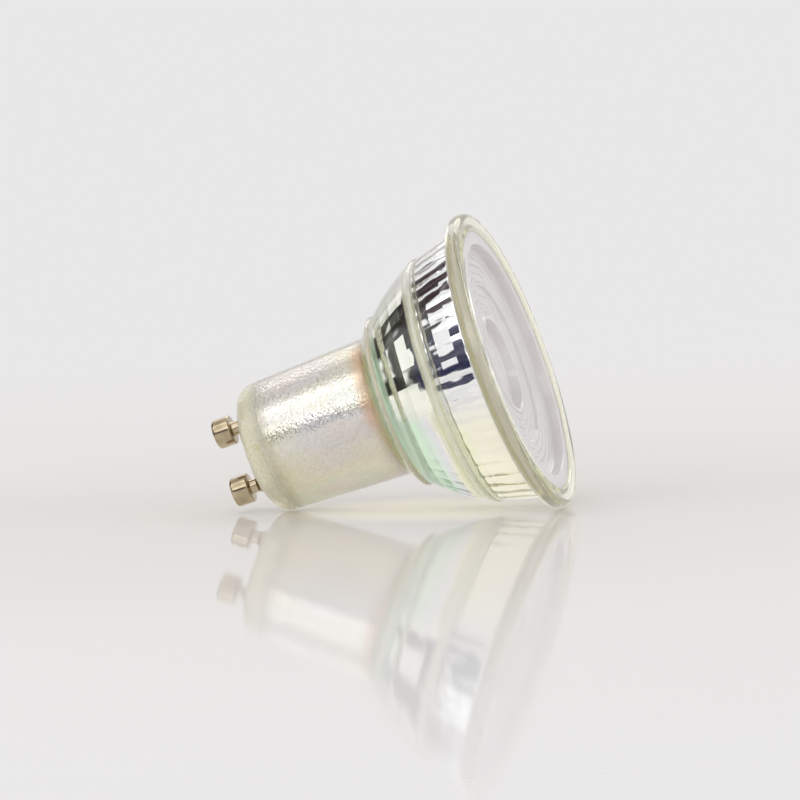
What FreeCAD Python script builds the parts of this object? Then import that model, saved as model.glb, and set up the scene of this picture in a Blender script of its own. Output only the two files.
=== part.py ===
import FreeCAD, Part
import math
import os
import Sketcher

# Reflector spot lamp with a two-pin twist-lock base. Millimetres, standing on its rim with the pins up.
# The origin is the centre of the rim's front plane and +Z runs along the lamp's axis to the pins.

SIZES = [
    # Outside of the glass shell, from the rim at the bottom to the closed rear end
    ("rim_radius", 25.0, "outer radius of the rim"),
    ("rim_thick", 2.6, "height of the rim bead"),
    ("rim_round", 1.0, "rounding of the rim's edges"),
    ("rim_step", 2.2, "step from the rim in to the upper band"),
    ("band_taper", 2.1, "how far the upper band draws in"),
    ("band_rear_z", 10.2, "height of the first bead"),
    ("bead_rise", 0.45, "how far a bead stands out"),
    ("bead_wide", 1.0, "height of a bead"),
    ("bowl_inset", 0.1, "step in behind the first bead"),
    ("bowl_rear_radius", 14.3, "lower bowl at the second bead"),
    ("bowl_rear_z", 20.1, "height of the second bead"),
    ("bowl_curve", 40.0, "radius of the bowl's gentle curve"),
    ("shoulder_tall", 1.6, "shoulder between the second bead and the neck"),
    ("neck_taper", 0.9, "how far the neck draws in"),
    ("rear_z", 46.0, "height of the closed rear face"),
    ("rear_round", 3.0, "rounding of the rear edge"),
    ("foot_round", 0.8, "fillet between the shoulder and the neck"),
    # Inside of the glass shell
    ("wall", 2.0, "glass at the first bead"),
    ("neck_wall", 1.7, "glass round the neck"),
    ("end_thick", 3.0, "glass at the closed end"),
    ("facet_count", 40, "facets round the reflector"),
    ("upper_rows", 3, "rows of facets in the upper band"),
    ("lower_rows", 4, "rows of facets in the lower bowl"),
    ("upper_bulge", 0.25, "curve of the upper rows"),
    ("lower_bulge", 0.55, "curve of the lower rows"),
    # Front lens
    ("rim_face", 3.0, "glass between the rim's edge and the lens"),
    ("lens_gap", 0.1, "gap round the flange"),
    ("lens_front_z", 0.4, "front face of the flange"),
    ("flange_thick", 1.5, "thickness of the flange"),
    ("glue_thick", 0.15, "adhesive under the flange"),
    ("glue_wide", 0.8, "width of the adhesive ring"),
    ("seat_wide", 1.0, "how far the seat reaches under the flange"),
    ("flange_wide", 2.4, "flange round the recessed face"),
    ("recess_z", 2.2, "depth of the recessed face"),
    ("step_in", 6.3, "inner step from the recess's edge"),
    ("step_z", 2.7, "depth of the inner face"),
    ("well_radius", 7.6, "central well"),
    ("well_z", 4.4, "depth of the central well"),
    ("ring_deep", 0.22, "depth of the ring grooves"),
    ("outer_rings", 4, "ring grooves outside the step"),
    ("inner_rings", 3, "ring grooves inside the step"),
    ("lens_draft", 0.2, "slope of the lens walls"),
    ("skirt_in", 1.0, "back of the disc inside the seat"),
    ("skirt_z", 4.2, "depth of the back of the disc"),
    ("cone_in", 5.4, "collecting cone inside the back of the disc"),
    ("cone_end_radius", 5.4, "narrow end of the collecting cone"),
    ("cone_curve", 34.0, "radius of the cone's curve"),
    ("cone_gap", 0.6, "gap between the cone and the light source"),
    ("cup_radius", 4.2, "hollow over the light source"),
    ("cup_deep", 4.5, "depth of that hollow"),
    # Light source
    ("plate_radius", 11.5, "aluminium plate"),
    ("plate_thick", 1.6, "thickness of the plate"),
    ("plate_gap", 0.2, "gap round the plate"),
    ("plate_rest", 1.5, "width of the shoulder under the plate"),
    ("plate_sunk", 0.4, "how deep the plate lies in its recess"),
    ("led_side", 10.0, "side of the light source's base"),
    ("led_thick", 1.0, "thickness of that base"),
    ("phosphor_radius", 3.5, "emitting disc"),
    ("phosphor_thick", 0.5, "thickness of the emitting disc"),
    # Contact pins
    ("pin_spacing", 10.0, "distance between the pins"),
    ("head_radius", 2.45, "head of a pin"),
    ("head_long", 3.0, "length of a head"),
    ("head_round", 0.45, "rounding of the head's edges"),
    ("shank_radius", 1.3, "shank of a pin"),
    ("shank_free", 2.8, "shank between the glass and the head"),
    ("collar_rise", 0.6, "collar inside the glass, out from the shank"),
    ("collar_long", 0.6, "height of that collar"),
    ("hole_gap", 0.05, "gap round a shank in its hole"),
    # Driver board and its wires
    ("wire_radius", 0.4, "stiff wires"),
    ("wire_long", 5.4, "wire from a pin onto the board"),
    ("wire_gap", 0.02, "gap between a wire and the board"),
    ("board_thick", 1.0, "circuit board"),
    ("board_gap", 0.4, "gap between the board's edge and the glass"),
    ("board_short", 2.6, "board's rear edge in front of the closed end"),
    ("tongue_gap", 0.6, "gap between the tongue and the collars"),
    ("link_in", 1.8, "link pins inside the board's edges"),
    ("link_front", 0.5, "link pin in front of the plate"),
    ("link_rear", 2.0, "link pin behind the plate"),
    # Parts on the board's upper face
    ("can_radius", 3.15, "electrolytic capacitor"),
    ("can_in", 4.9, "middle of the can inside the glass"),
    ("can_start", 3.2, "front end of the can behind the plate"),
    ("can_spare", 6.1, "board left behind the can"),
    ("can_groove", 0.3, "crimp of the can"),
    ("can_lead_radius", 0.3, "leads of the can"),
    ("can_lead_apart", 2.5, "distance between those leads"),
    ("can_lead_reach", 1.4, "reach of the leads"),
    ("core_radius", 3.0, "ferrite core of the inductor"),
    ("core_tall", 4.4, "height of the core"),
    ("core_flange", 0.8, "thickness of its flanges"),
    ("core_post", 1.4, "centre post of the core"),
    ("core_in", 4.6, "middle of the core inside the glass"),
    ("winding_rise", 1.2, "thickness of the copper winding"),
    ("fuse_radius", 1.2, "fusible resistor"),
    ("fuse_waist", 1.0, "waist of the resistor"),
    ("fuse_long", 6.2, "length of its body"),
    ("fuse_lead_gap", 0.2, "gap between its leads and the pin wires"),
    ("fuse_lead_radius", 0.3, "radius of its leads"),
    ("fuse_back", 2.4, "resistor in front of the board's rear edge"),
    # Parts on the board's lower face
    ("standoff", 0.1, "gap under a package"),
    ("bridge_back", 2.4, "rectifier in front of the board's rear edge"),
    ("bridge_across", 4.8, "rectifier body"),
    ("bridge_along", 4.0, "rectifier body"),
    ("bridge_thick", 2.4, "rectifier body"),
    ("bridge_leads", 2, "leads on each side"),
    ("bridge_pitch", 2.5, "lead pitch"),
    ("bridge_foot_wide", 0.7, "width of a foot"),
    ("bridge_foot_long", 1.0, "reach of a foot"),
    ("chip_across", 3.9, "chip body"),
    ("chip_along", 4.9, "chip body"),
    ("chip_thick", 1.5, "chip body"),
    ("chip_leads", 4, "leads on each side"),
    ("chip_pitch", 1.27, "lead pitch"),
    ("chip_foot_wide", 0.42, "width of a foot"),
    ("chip_foot_long", 1.05, "reach of a foot"),
    ("diode_off", 3.6, "diode from the board's middle"),
    ("diode_across", 4.3, "diode body"),
    ("diode_along", 2.6, "diode body"),
    ("diode_thick", 2.2, "diode body"),
    ("diode_leads", 1, "leads on each side"),
    ("diode_pitch", 1.0, "lead pitch"),
    ("diode_foot_wide", 1.4, "width of a foot"),
    ("diode_foot_long", 0.5, "reach of a foot"),
    ("sense_off", 5.0, "sense resistors from the board's middle"),
    ("sense_pitch", 2.2, "distance between the two"),
    ("sense_across", 3.2, "resistor body"),
    ("sense_along", 1.6, "resistor body"),
    ("sense_thick", 0.55, "resistor body"),
    ("block_off", 5.0, "output capacitor from the board's middle"),
    ("block_across", 2.5, "capacitor body"),
    ("block_along", 3.2, "capacitor body"),
    ("block_thick", 2.0, "capacitor body"),
]

# Places that follow from the sizes
BAND_FRONT = "(Lamp.rim_radius - Lamp.rim_step)"
BAND_REAR = "(Lamp.rim_radius - Lamp.rim_step - Lamp.band_taper)"
BOWL_FRONT = "(" + BAND_REAR + " - Lamp.bowl_inset)"
BOWL_FRONT_Z = "(Lamp.band_rear_z + Lamp.bead_wide)"
BOWL_BEAD_Z = "(Lamp.bowl_rear_z + Lamp.bead_wide)"
NECK_FRONT_Z = "(Lamp.bowl_rear_z + Lamp.bead_wide + Lamp.shoulder_tall)"
CAVITY_FRONT = "(Lamp.plate_radius - Lamp.plate_rest)"
CAVITY_REAR = "(Lamp.plate_radius - Lamp.plate_rest - Lamp.neck_taper)"
CAVITY_END_Z = "(Lamp.rear_z - Lamp.end_thick)"
NECK_FRONT = "(" + CAVITY_FRONT + " + Lamp.neck_wall)"
NECK_REAR = "(" + CAVITY_REAR + " + Lamp.neck_wall)"
LENS_RADIUS = "(Lamp.rim_radius - Lamp.rim_face)"
FLANGE_BACK_Z = "(Lamp.lens_front_z + Lamp.flange_thick)"
SEAT_Z = "(Lamp.lens_front_z + Lamp.flange_thick + Lamp.glue_thick)"
MIRROR_FRONT = "(" + LENS_RADIUS + " - Lamp.seat_wide)"
MIRROR_MIDDLE = "(" + BAND_REAR + " - Lamp.wall)"
MIRROR_MIDDLE_Z = "(Lamp.band_rear_z + Lamp.bead_wide / 2)"
PLATE_RECESS = "(Lamp.plate_radius + Lamp.plate_gap)"
PLATE_BACK_Z = "(Lamp.bowl_rear_z + Lamp.bead_wide / 2)"
PLATE_FRONT_Z = "(" + PLATE_BACK_Z + " - Lamp.plate_thick)"
MIRROR_REAR = "(" + PLATE_RECESS + " + 0.5)"
MIRROR_REAR_Z = "(" + PLATE_FRONT_Z + " - Lamp.plate_sunk)"
LED_FRONT_Z = "(" + PLATE_FRONT_Z + " - Lamp.led_thick)"
PHOSPHOR_FRONT_Z = "(" + LED_FRONT_Z + " - Lamp.phosphor_thick)"
RECESS_RADIUS = "(" + LENS_RADIUS + " - Lamp.flange_wide)"
STEP_RADIUS = "(" + RECESS_RADIUS + " - Lamp.step_in)"
SKIRT_RADIUS = "(" + MIRROR_FRONT + " - Lamp.skirt_in)"
CONE_RADIUS = "(" + SKIRT_RADIUS + " - Lamp.cone_in)"
CONE_END_Z = "(" + PHOSPHOR_FRONT_Z + " - Lamp.cone_gap)"
COLLAR_RADIUS = "(Lamp.shank_radius + Lamp.collar_rise)"
COLLAR_Z = "(" + CAVITY_END_Z + " - Lamp.collar_long)"
HEAD_Z = "(Lamp.rear_z + Lamp.shank_free)"
HEAD_END_Z = "(Lamp.rear_z + Lamp.shank_free + Lamp.head_long)"
PIN_X = "Lamp.pin_spacing / 2"
BOARD_HALF = "(" + CAVITY_REAR + " - Lamp.board_gap)"
BOARD_FACE_Y = "(-Lamp.wire_radius - Lamp.wire_gap)"
BOARD_BACK_Y = "(" + BOARD_FACE_Y + " - Lamp.board_thick)"
BOARD_REAR_Z = "(" + CAVITY_END_Z + " - Lamp.board_short)"
BOARD_LONG = "(" + BOARD_REAR_Z + " - " + PLATE_BACK_Z + ")"
LINK_X = "(" + BOARD_HALF + " - Lamp.link_in)"
LINK_Y = "(" + BOARD_BACK_Y + " - Lamp.wire_gap - Lamp.wire_radius)"
CAN_X = "(Lamp.can_in - " + CAVITY_REAR + ")"
CAN_Y = "(" + BOARD_FACE_Y + " + Lamp.can_radius + Lamp.wire_gap)"
CAN_Z = "(" + PLATE_BACK_Z + " + Lamp.can_start)"
CAN_LONG = "(" + BOARD_LONG + " - Lamp.can_start - Lamp.can_spare)"
CORE_X = "(" + CAVITY_REAR + " - Lamp.core_in)"
FUSE_Y = "(" + BOARD_FACE_Y + " + Lamp.fuse_radius + Lamp.wire_gap)"
FUSE_Z = "(" + BOARD_REAR_Z + " - Lamp.fuse_back)"
FUSE_LEAD_X = "(" + PIN_X + " - Lamp.wire_radius - Lamp.fuse_lead_gap - Lamp.fuse_lead_radius)"
SIDES = (("a", ""), ("b", "-"))


def along_board(share):
    """Height at a share of the board's length, from the plate."""
    return "(%s + %s * %s)" % (PLATE_BACK_Z, BOARD_LONG, share)


doc = FreeCAD.newDocument("spot_lamp")
sheet = doc.addObject("Spreadsheet::Sheet", "Lamp")
for row, (alias, number, meaning) in enumerate(SIZES, 1):
    sheet.set("A%d" % row, meaning)
    sheet.set("B%d" % row, str(number))
    sheet.setAlias("B%d" % row, alias)
doc.recompute()

nodes = []


def value(expression):
    """Number that an expression gives with the present sizes."""
    return float(sheet.evalExpression(expression))


def node(thing, label):
    """Name a finished piece and keep it for the export."""
    thing.Label = label
    nodes.append(thing)
    return thing


def bind(thing, **expressions):
    """Bind properties to sizes; x, y and z stand for the placement's position."""
    for name, expression in expressions.items():
        path = "Placement.Base." + name if name in ("x", "y", "z") else name
        thing.setExpression(path, expression)
    return thing


def origin_feature(body, role):
    return next(item for item in body.Origin.OriginFeatures if item.Role == role)


def sketch_on(body, name, role):
    sketch = body.newObject("Sketcher::SketchObject", name)
    sketch.AttachmentSupport = [(origin_feature(body, role), "")]
    sketch.MapMode = "FlatFace"
    return sketch


def arc_through(start, end, radius):
    """Arc from start to end that bulges to the right of the line between them."""
    chord = end - start
    half = chord.Length / 2
    rise = radius - math.sqrt(radius * radius - half * half)
    across = FreeCAD.Vector(chord.y, -chord.x, 0).normalize()
    return Part.Arc(start, (start + end) / 2 + across * rise, end)


def outline(body, name, corners, role="XZ_Plane"):
    """Closed sketch outline; each corner is (across, up) with an arc radius where the next side bulges."""
    sketch = sketch_on(body, name, role)
    points = [FreeCAD.Vector(value(corner[0]), value(corner[1]), 0) for corner in corners]
    starts = []
    for index, corner in enumerate(corners):
        start = points[index]
        end = points[(index + 1) % len(points)]
        if len(corner) == 3:
            side = sketch.addGeometry(arc_through(start, end, value(corner[2])), False)
        else:
            side = sketch.addGeometry(Part.LineSegment(start, end), False)
        starts.append(1 if (sketch.getPoint(side, 1) - start).Length < 1e-6 else 2)
    for index, corner in enumerate(corners):
        following = (index + 1) % len(corners)
        sketch.addConstraint(
            Sketcher.Constraint("Coincident", index, 3 - starts[index], following, starts[following])
        )
        if corner[0] == "0":
            sketch.addConstraint(Sketcher.Constraint("PointOnObject", index, starts[index], -2))
        else:
            number = sketch.addConstraint(
                Sketcher.Constraint("DistanceX", -1, 1, index, starts[index], points[index].x)
            )
            sketch.setExpression("Constraints[%d]" % number, corner[0])
        if corner[1] == "0":
            sketch.addConstraint(Sketcher.Constraint("PointOnObject", index, starts[index], -1))
        else:
            number = sketch.addConstraint(
                Sketcher.Constraint("DistanceY", -1, 1, index, starts[index], points[index].y)
            )
            sketch.setExpression("Constraints[%d]" % number, corner[1])
        if len(corner) == 3:
            number = sketch.addConstraint(Sketcher.Constraint("Radius", index, value(corner[2])))
            sketch.setExpression("Constraints[%d]" % number, corner[2])
    return sketch


def turned(label, corners):
    """Body turned round its own Z axis from an outline."""
    body = doc.addObject("PartDesign::Body", label)
    sketch = outline(body, label + "_outline", corners)
    doc.recompute()
    feature = body.newObject("PartDesign::Revolution", label + "_turned")
    feature.Profile = sketch
    feature.ReferenceAxis = (sketch, ["V_Axis"])
    feature.Angle = 360
    doc.recompute()
    return body


def round_circles(body, name, radius, circles):
    """Fillet the circular edges of a turned body that lie at the given (radius, height) places."""
    base = body.Tip
    wanted = [(value(across), value(up)) for across, up in circles]
    edges = []
    for number, edge in enumerate(base.Shape.Edges, 1):
        if not isinstance(edge.Curve, Part.Circle):
            continue
        place = (edge.Curve.Radius, edge.Curve.Center.z)
        if any(math.dist(place, other) < 1e-3 for other in wanted):
            edges.append("Edge%d" % number)
    feature = body.newObject("PartDesign::Fillet", name)
    feature.Base = (base, edges)
    feature.setExpression("Radius", radius)
    doc.recompute()
    return feature


def cylinder(name, radius, height, x="0", y="0", z="0", axis="z"):
    """Cylinder that starts at a point and runs along +X, -Y or +Z."""
    turns = {
        "x": FreeCAD.Rotation(FreeCAD.Vector(0, 1, 0), 90),
        "-y": FreeCAD.Rotation(FreeCAD.Vector(1, 0, 0), 90),
        "z": FreeCAD.Rotation(),
    }
    thing = doc.addObject("Part::Cylinder", name)
    thing.Placement = FreeCAD.Placement(FreeCAD.Vector(), turns[axis])
    return bind(thing, Radius=radius, Height=height, x=x, y=y, z=z)


def box(name, long, wide, tall, x, y, z):
    """Box from its least corner."""
    thing = doc.addObject("Part::Box", name)
    return bind(thing, Length=long, Width=wide, Height=tall, x=x, y=y, z=z)


def joined(name, pieces):
    thing = doc.addObject("Part::MultiFuse", name)
    thing.Shapes = pieces
    return thing


def cut(name, base, tool):
    thing = doc.addObject("Part::Cut", name)
    thing.Base = base
    thing.Tool = tool
    return thing


def facet_tier(name, rows, front, rear, bulge, half_turn):
    """Solid with flat facets in rows, from (radius, height) in front to (radius, height) at the rear."""
    sections = []
    for row in range(rows + 1):
        part = "%d / %d" % (row, rows)
        swell = "%s * 4 * %s * (1 - %s)" % (bulge, part, part)
        polygon = doc.addObject("Part::RegularPolygon", "%s_%d" % (name, row))
        polygon.Placement.Rotation = FreeCAD.Rotation(FreeCAD.Vector(0, 0, 1), 1)
        bind(
            polygon,
            Polygon="Lamp.facet_count",
            Circumradius="%s + (%s - %s) * %s + %s" % (front[0], rear[0], front[0], part, swell),
            z="%s + (%s - %s) * %s" % (front[1], rear[1], front[1], part),
        )
        polygon.setExpression("Placement.Rotation.Angle", "%s / Lamp.facet_count" % half_turn)
        sections.append(polygon)
    tier = doc.addObject("Part::Loft", name)
    tier.Sections = sections
    tier.Solid = True
    tier.Ruled = True
    return tier


# Glass shell: turned blank, with the beads and the shoulder in its outline
blank = turned(
    "glass_blank",
    [
        ("0", "0"),
        ("Lamp.rim_radius", "0"),
        ("Lamp.rim_radius", "Lamp.rim_thick"),
        (BAND_FRONT, "Lamp.rim_thick"),
        (BAND_REAR, "Lamp.band_rear_z"),
        (BAND_REAR + " + Lamp.bead_rise", "Lamp.band_rear_z"),
        (BAND_REAR + " + Lamp.bead_rise", BOWL_FRONT_Z),
        (BOWL_FRONT, BOWL_FRONT_Z, "Lamp.bowl_curve"),
        ("Lamp.bowl_rear_radius", "Lamp.bowl_rear_z"),
        ("Lamp.bowl_rear_radius + Lamp.bead_rise", "Lamp.bowl_rear_z"),
        ("Lamp.bowl_rear_radius + Lamp.bead_rise", BOWL_BEAD_Z),
        ("Lamp.bowl_rear_radius", BOWL_BEAD_Z),
        (NECK_FRONT, NECK_FRONT_Z),
        (NECK_REAR, "Lamp.rear_z"),
        ("0", "Lamp.rear_z"),
    ],
)
round_circles(
    blank,
    "rim_rounding",
    "Lamp.rim_round",
    [("Lamp.rim_radius", "0"), ("Lamp.rim_radius", "Lamp.rim_thick")],
)
round_circles(
    blank,
    "bead_rounding",
    "Lamp.bead_rise * 0.9",
    [
        (BAND_REAR + " + Lamp.bead_rise", "Lamp.band_rear_z"),
        (BAND_REAR + " + Lamp.bead_rise", BOWL_FRONT_Z),
        ("Lamp.bowl_rear_radius + Lamp.bead_rise", "Lamp.bowl_rear_z"),
        ("Lamp.bowl_rear_radius + Lamp.bead_rise", BOWL_BEAD_Z),
    ],
)
round_circles(blank, "shoulder_rounding", "Lamp.foot_round", [(NECK_FRONT, NECK_FRONT_Z)])
round_circles(blank, "rear_rounding", "Lamp.rear_round", [(NECK_REAR, "Lamp.rear_z")])

# Glass shell: the hollow, with its faceted reflector in two tiers set half a facet apart
upper_tier = facet_tier(
    "upper_tier",
    int(value("Lamp.upper_rows")),
    (MIRROR_FRONT, SEAT_Z),
    (MIRROR_MIDDLE, MIRROR_MIDDLE_Z),
    "Lamp.upper_bulge",
    "0",
)
lower_tier = facet_tier(
    "lower_tier",
    int(value("Lamp.lower_rows")),
    (MIRROR_MIDDLE, MIRROR_MIDDLE_Z),
    (MIRROR_REAR, MIRROR_REAR_Z),
    "Lamp.lower_bulge",
    "180",
)
lens_recess = cylinder("lens_recess", LENS_RADIUS + " + Lamp.lens_gap", SEAT_Z + " + 1", z="-1")
plate_recess = cylinder(
    "plate_recess",
    PLATE_RECESS,
    PLATE_BACK_Z + " - " + MIRROR_REAR_Z + " + 0.5",
    z=MIRROR_REAR_Z + " - 0.5",
)
neck_hollow = doc.addObject("Part::Cone", "neck_hollow")
bind(
    neck_hollow,
    Radius1=CAVITY_FRONT,
    Radius2=CAVITY_REAR,
    Height=CAVITY_END_Z + " - " + PLATE_BACK_Z,
    z=PLATE_BACK_Z,
)
pin_holes = [
    cylinder(
        "pin_hole_" + side,
        "Lamp.shank_radius + Lamp.hole_gap",
        "Lamp.end_thick + 2",
        x=sign + PIN_X,
        z=CAVITY_END_Z + " - 1",
    )
    for side, sign in SIDES
]
hollow = joined("hollow", [lens_recess, upper_tier, lower_tier, plate_recess, neck_hollow] + pin_holes)
node(cut("glass_body_cut", blank, hollow), "glass_body")


# Front lens: flange, ringed recess with a step, central well, and the collecting cone behind
def ring_grooves(inner, outer, floor, count):
    """Corners of evenly spaced grooves in a floor, from the inner to the outer radius."""
    corners = []
    for ring in range(2 * count + 1):
        across = "%s + (%s - %s) * %d / %d" % (inner, outer, inner, ring, 2 * count)
        deep = " + Lamp.ring_deep" if ring % 2 else ""
        corners.append((across, floor + deep))
    return corners


lens_corners = [("0", "Lamp.well_z"), ("Lamp.well_radius - Lamp.lens_draft", "Lamp.well_z")]
lens_corners += ring_grooves(
    "Lamp.well_radius",
    "(" + STEP_RADIUS + " - Lamp.lens_draft)",
    "Lamp.step_z",
    int(value("Lamp.inner_rings")),
)
lens_corners += ring_grooves(
    STEP_RADIUS,
    "(" + RECESS_RADIUS + " - Lamp.lens_draft)",
    "Lamp.recess_z",
    int(value("Lamp.outer_rings")),
)
lens_corners += [
    (RECESS_RADIUS, "Lamp.lens_front_z"),
    (LENS_RADIUS, "Lamp.lens_front_z"),
    (LENS_RADIUS, FLANGE_BACK_Z),
    (SKIRT_RADIUS, FLANGE_BACK_Z),
    (SKIRT_RADIUS, "Lamp.skirt_z"),
    (CONE_RADIUS, "Lamp.skirt_z", "Lamp.cone_curve"),
    ("Lamp.cone_end_radius", CONE_END_Z),
    ("Lamp.cup_radius", CONE_END_Z),
    ("Lamp.cup_radius - Lamp.lens_draft", CONE_END_Z + " - Lamp.cup_deep"),
    ("0", CONE_END_Z + " - Lamp.cup_deep"),
]
node(turned("front_lens_body", lens_corners), "front_lens")

# Adhesive ring between the flange and its seat
glue_disc = cylinder("glue_disc", LENS_RADIUS + " - 0.1", "Lamp.glue_thick", z=FLANGE_BACK_Z)
glue_hole = cylinder(
    "glue_hole",
    LENS_RADIUS + " - 0.1 - Lamp.glue_wide",
    "Lamp.glue_thick",
    z=FLANGE_BACK_Z,
)
node(cut("glue_ring", glue_disc, glue_hole), "lens_adhesive")

# Plate with the light source, on the shoulder at the mouth of the neck
plate_disc = cylinder("plate_disc", "Lamp.plate_radius", "Lamp.plate_thick", z=PLATE_FRONT_Z)
plate_holes = joined(
    "plate_holes",
    [
        cylinder(
            "plate_hole_" + side,
            "Lamp.wire_radius + Lamp.hole_gap",
            "Lamp.plate_thick + 2",
            x=sign + LINK_X,
            y=LINK_Y,
            z=PLATE_FRONT_Z + " - 1",
        )
        for side, sign in SIDES
    ],
)
node(cut("plate_drilled", plate_disc, plate_holes), "led_plate")
led_box = box(
    "led_base_box",
    "Lamp.led_side",
    "Lamp.led_side",
    "Lamp.led_thick",
    "-Lamp.led_side / 2",
    "-Lamp.led_side / 2",
    LED_FRONT_Z,
)
node(led_box, "led_base")
phosphor = cylinder(
    "phosphor_disc",
    "Lamp.phosphor_radius",
    "Lamp.phosphor_thick",
    z=PHOSPHOR_FRONT_Z,
)
node(phosphor, "led_phosphor")

# Contact pins with their wires, and the link pins between the board and the plate
for side, sign in SIDES:
    pin = turned(
        "contact_pin_body_" + side,
        [
            ("0", COLLAR_Z),
            (COLLAR_RADIUS, COLLAR_Z),
            (COLLAR_RADIUS, CAVITY_END_Z),
            ("Lamp.shank_radius", CAVITY_END_Z),
            ("Lamp.shank_radius", HEAD_Z),
            ("Lamp.head_radius", HEAD_Z),
            ("Lamp.head_radius", HEAD_END_Z),
            ("0", HEAD_END_Z),
        ],
    )
    round_circles(
        pin,
        "head_rounding_" + side,
        "Lamp.head_round",
        [("Lamp.head_radius", HEAD_Z), ("Lamp.head_radius", HEAD_END_Z)],
    )
    bind(pin, x=sign + PIN_X)
    node(pin, "contact_pin_" + side)
    wire = cylinder(
        "pin_wire_body_" + side,
        "Lamp.wire_radius",
        "Lamp.wire_long",
        x=sign + PIN_X,
        z=COLLAR_Z + " - Lamp.wire_long",
    )
    node(wire, "pin_wire_" + side)
    link = cylinder(
        "link_pin_body_" + side,
        "Lamp.wire_radius",
        "Lamp.link_front + Lamp.plate_thick + Lamp.link_rear",
        x=sign + LINK_X,
        y=LINK_Y,
        z=PLATE_FRONT_Z + " - Lamp.link_front",
    )
    node(link, "link_pin_" + side)

# Driver board: upright between the plate and the closed end, with a tongue between the pins
board_sheet = box(
    "board_sheet",
    "2 * " + BOARD_HALF,
    "Lamp.board_thick",
    BOARD_LONG,
    "-" + BOARD_HALF,
    BOARD_BACK_Y,
    PLATE_BACK_Z,
)
tongue_half = "(" + PIN_X + " - " + COLLAR_RADIUS + " - Lamp.tongue_gap)"
board_tongue = box(
    "board_tongue",
    "2 * " + tongue_half,
    "Lamp.board_thick",
    CAVITY_END_Z + " - " + PLATE_BACK_Z,
    "-" + tongue_half,
    BOARD_BACK_Y,
    PLATE_BACK_Z,
)
node(joined("board_joined", [board_sheet, board_tongue]), "driver_board")

# Electrolytic capacitor, lying along the board with its leads bent down to it
can = turned(
    "can",
    [
        ("0", "0"),
        ("Lamp.can_radius - Lamp.can_groove", "0"),
        ("Lamp.can_radius", "Lamp.can_groove"),
        ("Lamp.can_radius", CAN_LONG + " - 2"),
        ("Lamp.can_radius - Lamp.can_groove", CAN_LONG + " - 1.6"),
        ("Lamp.can_radius", CAN_LONG + " - 1.2"),
        ("Lamp.can_radius", CAN_LONG + " - Lamp.can_groove"),
        ("Lamp.can_radius - Lamp.can_groove", CAN_LONG),
        ("0", CAN_LONG),
    ],
)
bind(can, x=CAN_X, y=CAN_Y, z=CAN_Z)
can_pieces = [can]
for side, sign in (("a", " + "), ("b", " - ")):
    lead_x = CAN_X + sign + "Lamp.can_lead_apart / 2"
    can_pieces.append(
        cylinder(
            "can_lead_out_" + side,
            "Lamp.can_lead_radius",
            "Lamp.can_lead_reach + Lamp.can_lead_radius + 0.5",
            x=lead_x,
            y=CAN_Y,
            z=CAN_Z + " + " + CAN_LONG + " - 0.5",
        )
    )
    can_pieces.append(
        cylinder(
            "can_lead_down_" + side,
            "Lamp.can_lead_radius * 0.95",
            "Lamp.can_radius + Lamp.wire_gap",
            x=lead_x,
            y=CAN_Y,
            z=CAN_Z + " + " + CAN_LONG + " + Lamp.can_lead_reach",
            axis="-y",
        )
    )
node(joined("can_joined", can_pieces), "input_capacitor")

# Inductor: drum core standing on the board, with its winding between the flanges
upright = FreeCAD.Rotation(FreeCAD.Vector(1, 0, 0), -90)
core = turned(
    "core",
    [
        ("0", "0"),
        ("Lamp.core_radius", "0"),
        ("Lamp.core_radius", "Lamp.core_flange"),
        ("Lamp.core_post", "Lamp.core_flange"),
        ("Lamp.core_post", "Lamp.core_tall - Lamp.core_flange"),
        ("Lamp.core_radius", "Lamp.core_tall - Lamp.core_flange"),
        ("Lamp.core_radius", "Lamp.core_tall"),
        ("0", "Lamp.core_tall"),
    ],
)
winding = turned(
    "winding",
    [
        ("Lamp.core_post", "Lamp.core_flange"),
        ("Lamp.core_post + Lamp.winding_rise", "Lamp.core_flange"),
        ("Lamp.core_post + Lamp.winding_rise", "Lamp.core_tall - Lamp.core_flange"),
        ("Lamp.core_post", "Lamp.core_tall - Lamp.core_flange"),
    ],
)
for piece, label in ((core, "inductor_core"), (winding, "inductor_winding")):
    piece.Placement = FreeCAD.Placement(FreeCAD.Vector(), upright)
    bind(piece, x=CORE_X, y=BOARD_FACE_Y, z=along_board("0.4"))
    node(piece, label)

# Fusible resistor, lying across the board between the two pin wires
fuse = turned(
    "fuse",
    [
        ("0", "0"),
        ("Lamp.fuse_radius - 0.3", "0"),
        ("Lamp.fuse_radius", "0.3"),
        ("Lamp.fuse_radius", "Lamp.fuse_long * 0.22"),
        ("Lamp.fuse_waist", "Lamp.fuse_long * 0.3"),
        ("Lamp.fuse_waist", "Lamp.fuse_long * 0.7"),
        ("Lamp.fuse_radius", "Lamp.fuse_long * 0.78"),
        ("Lamp.fuse_radius", "Lamp.fuse_long - 0.3"),
        ("Lamp.fuse_radius - 0.3", "Lamp.fuse_long"),
        ("0", "Lamp.fuse_long"),
    ],
)
fuse.Placement = FreeCAD.Placement(FreeCAD.Vector(), FreeCAD.Rotation(FreeCAD.Vector(0, 1, 0), 90))
bind(fuse, x="-Lamp.fuse_long / 2", y=FUSE_Y, z=FUSE_Z)
fuse_pieces = [
    fuse,
    cylinder(
        "fuse_lead",
        "Lamp.fuse_lead_radius",
        "2 * (" + FUSE_LEAD_X + " + Lamp.fuse_lead_radius)",
        x="-" + FUSE_LEAD_X + " - Lamp.fuse_lead_radius",
        y=FUSE_Y,
        z=FUSE_Z,
        axis="x",
    ),
]
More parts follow.
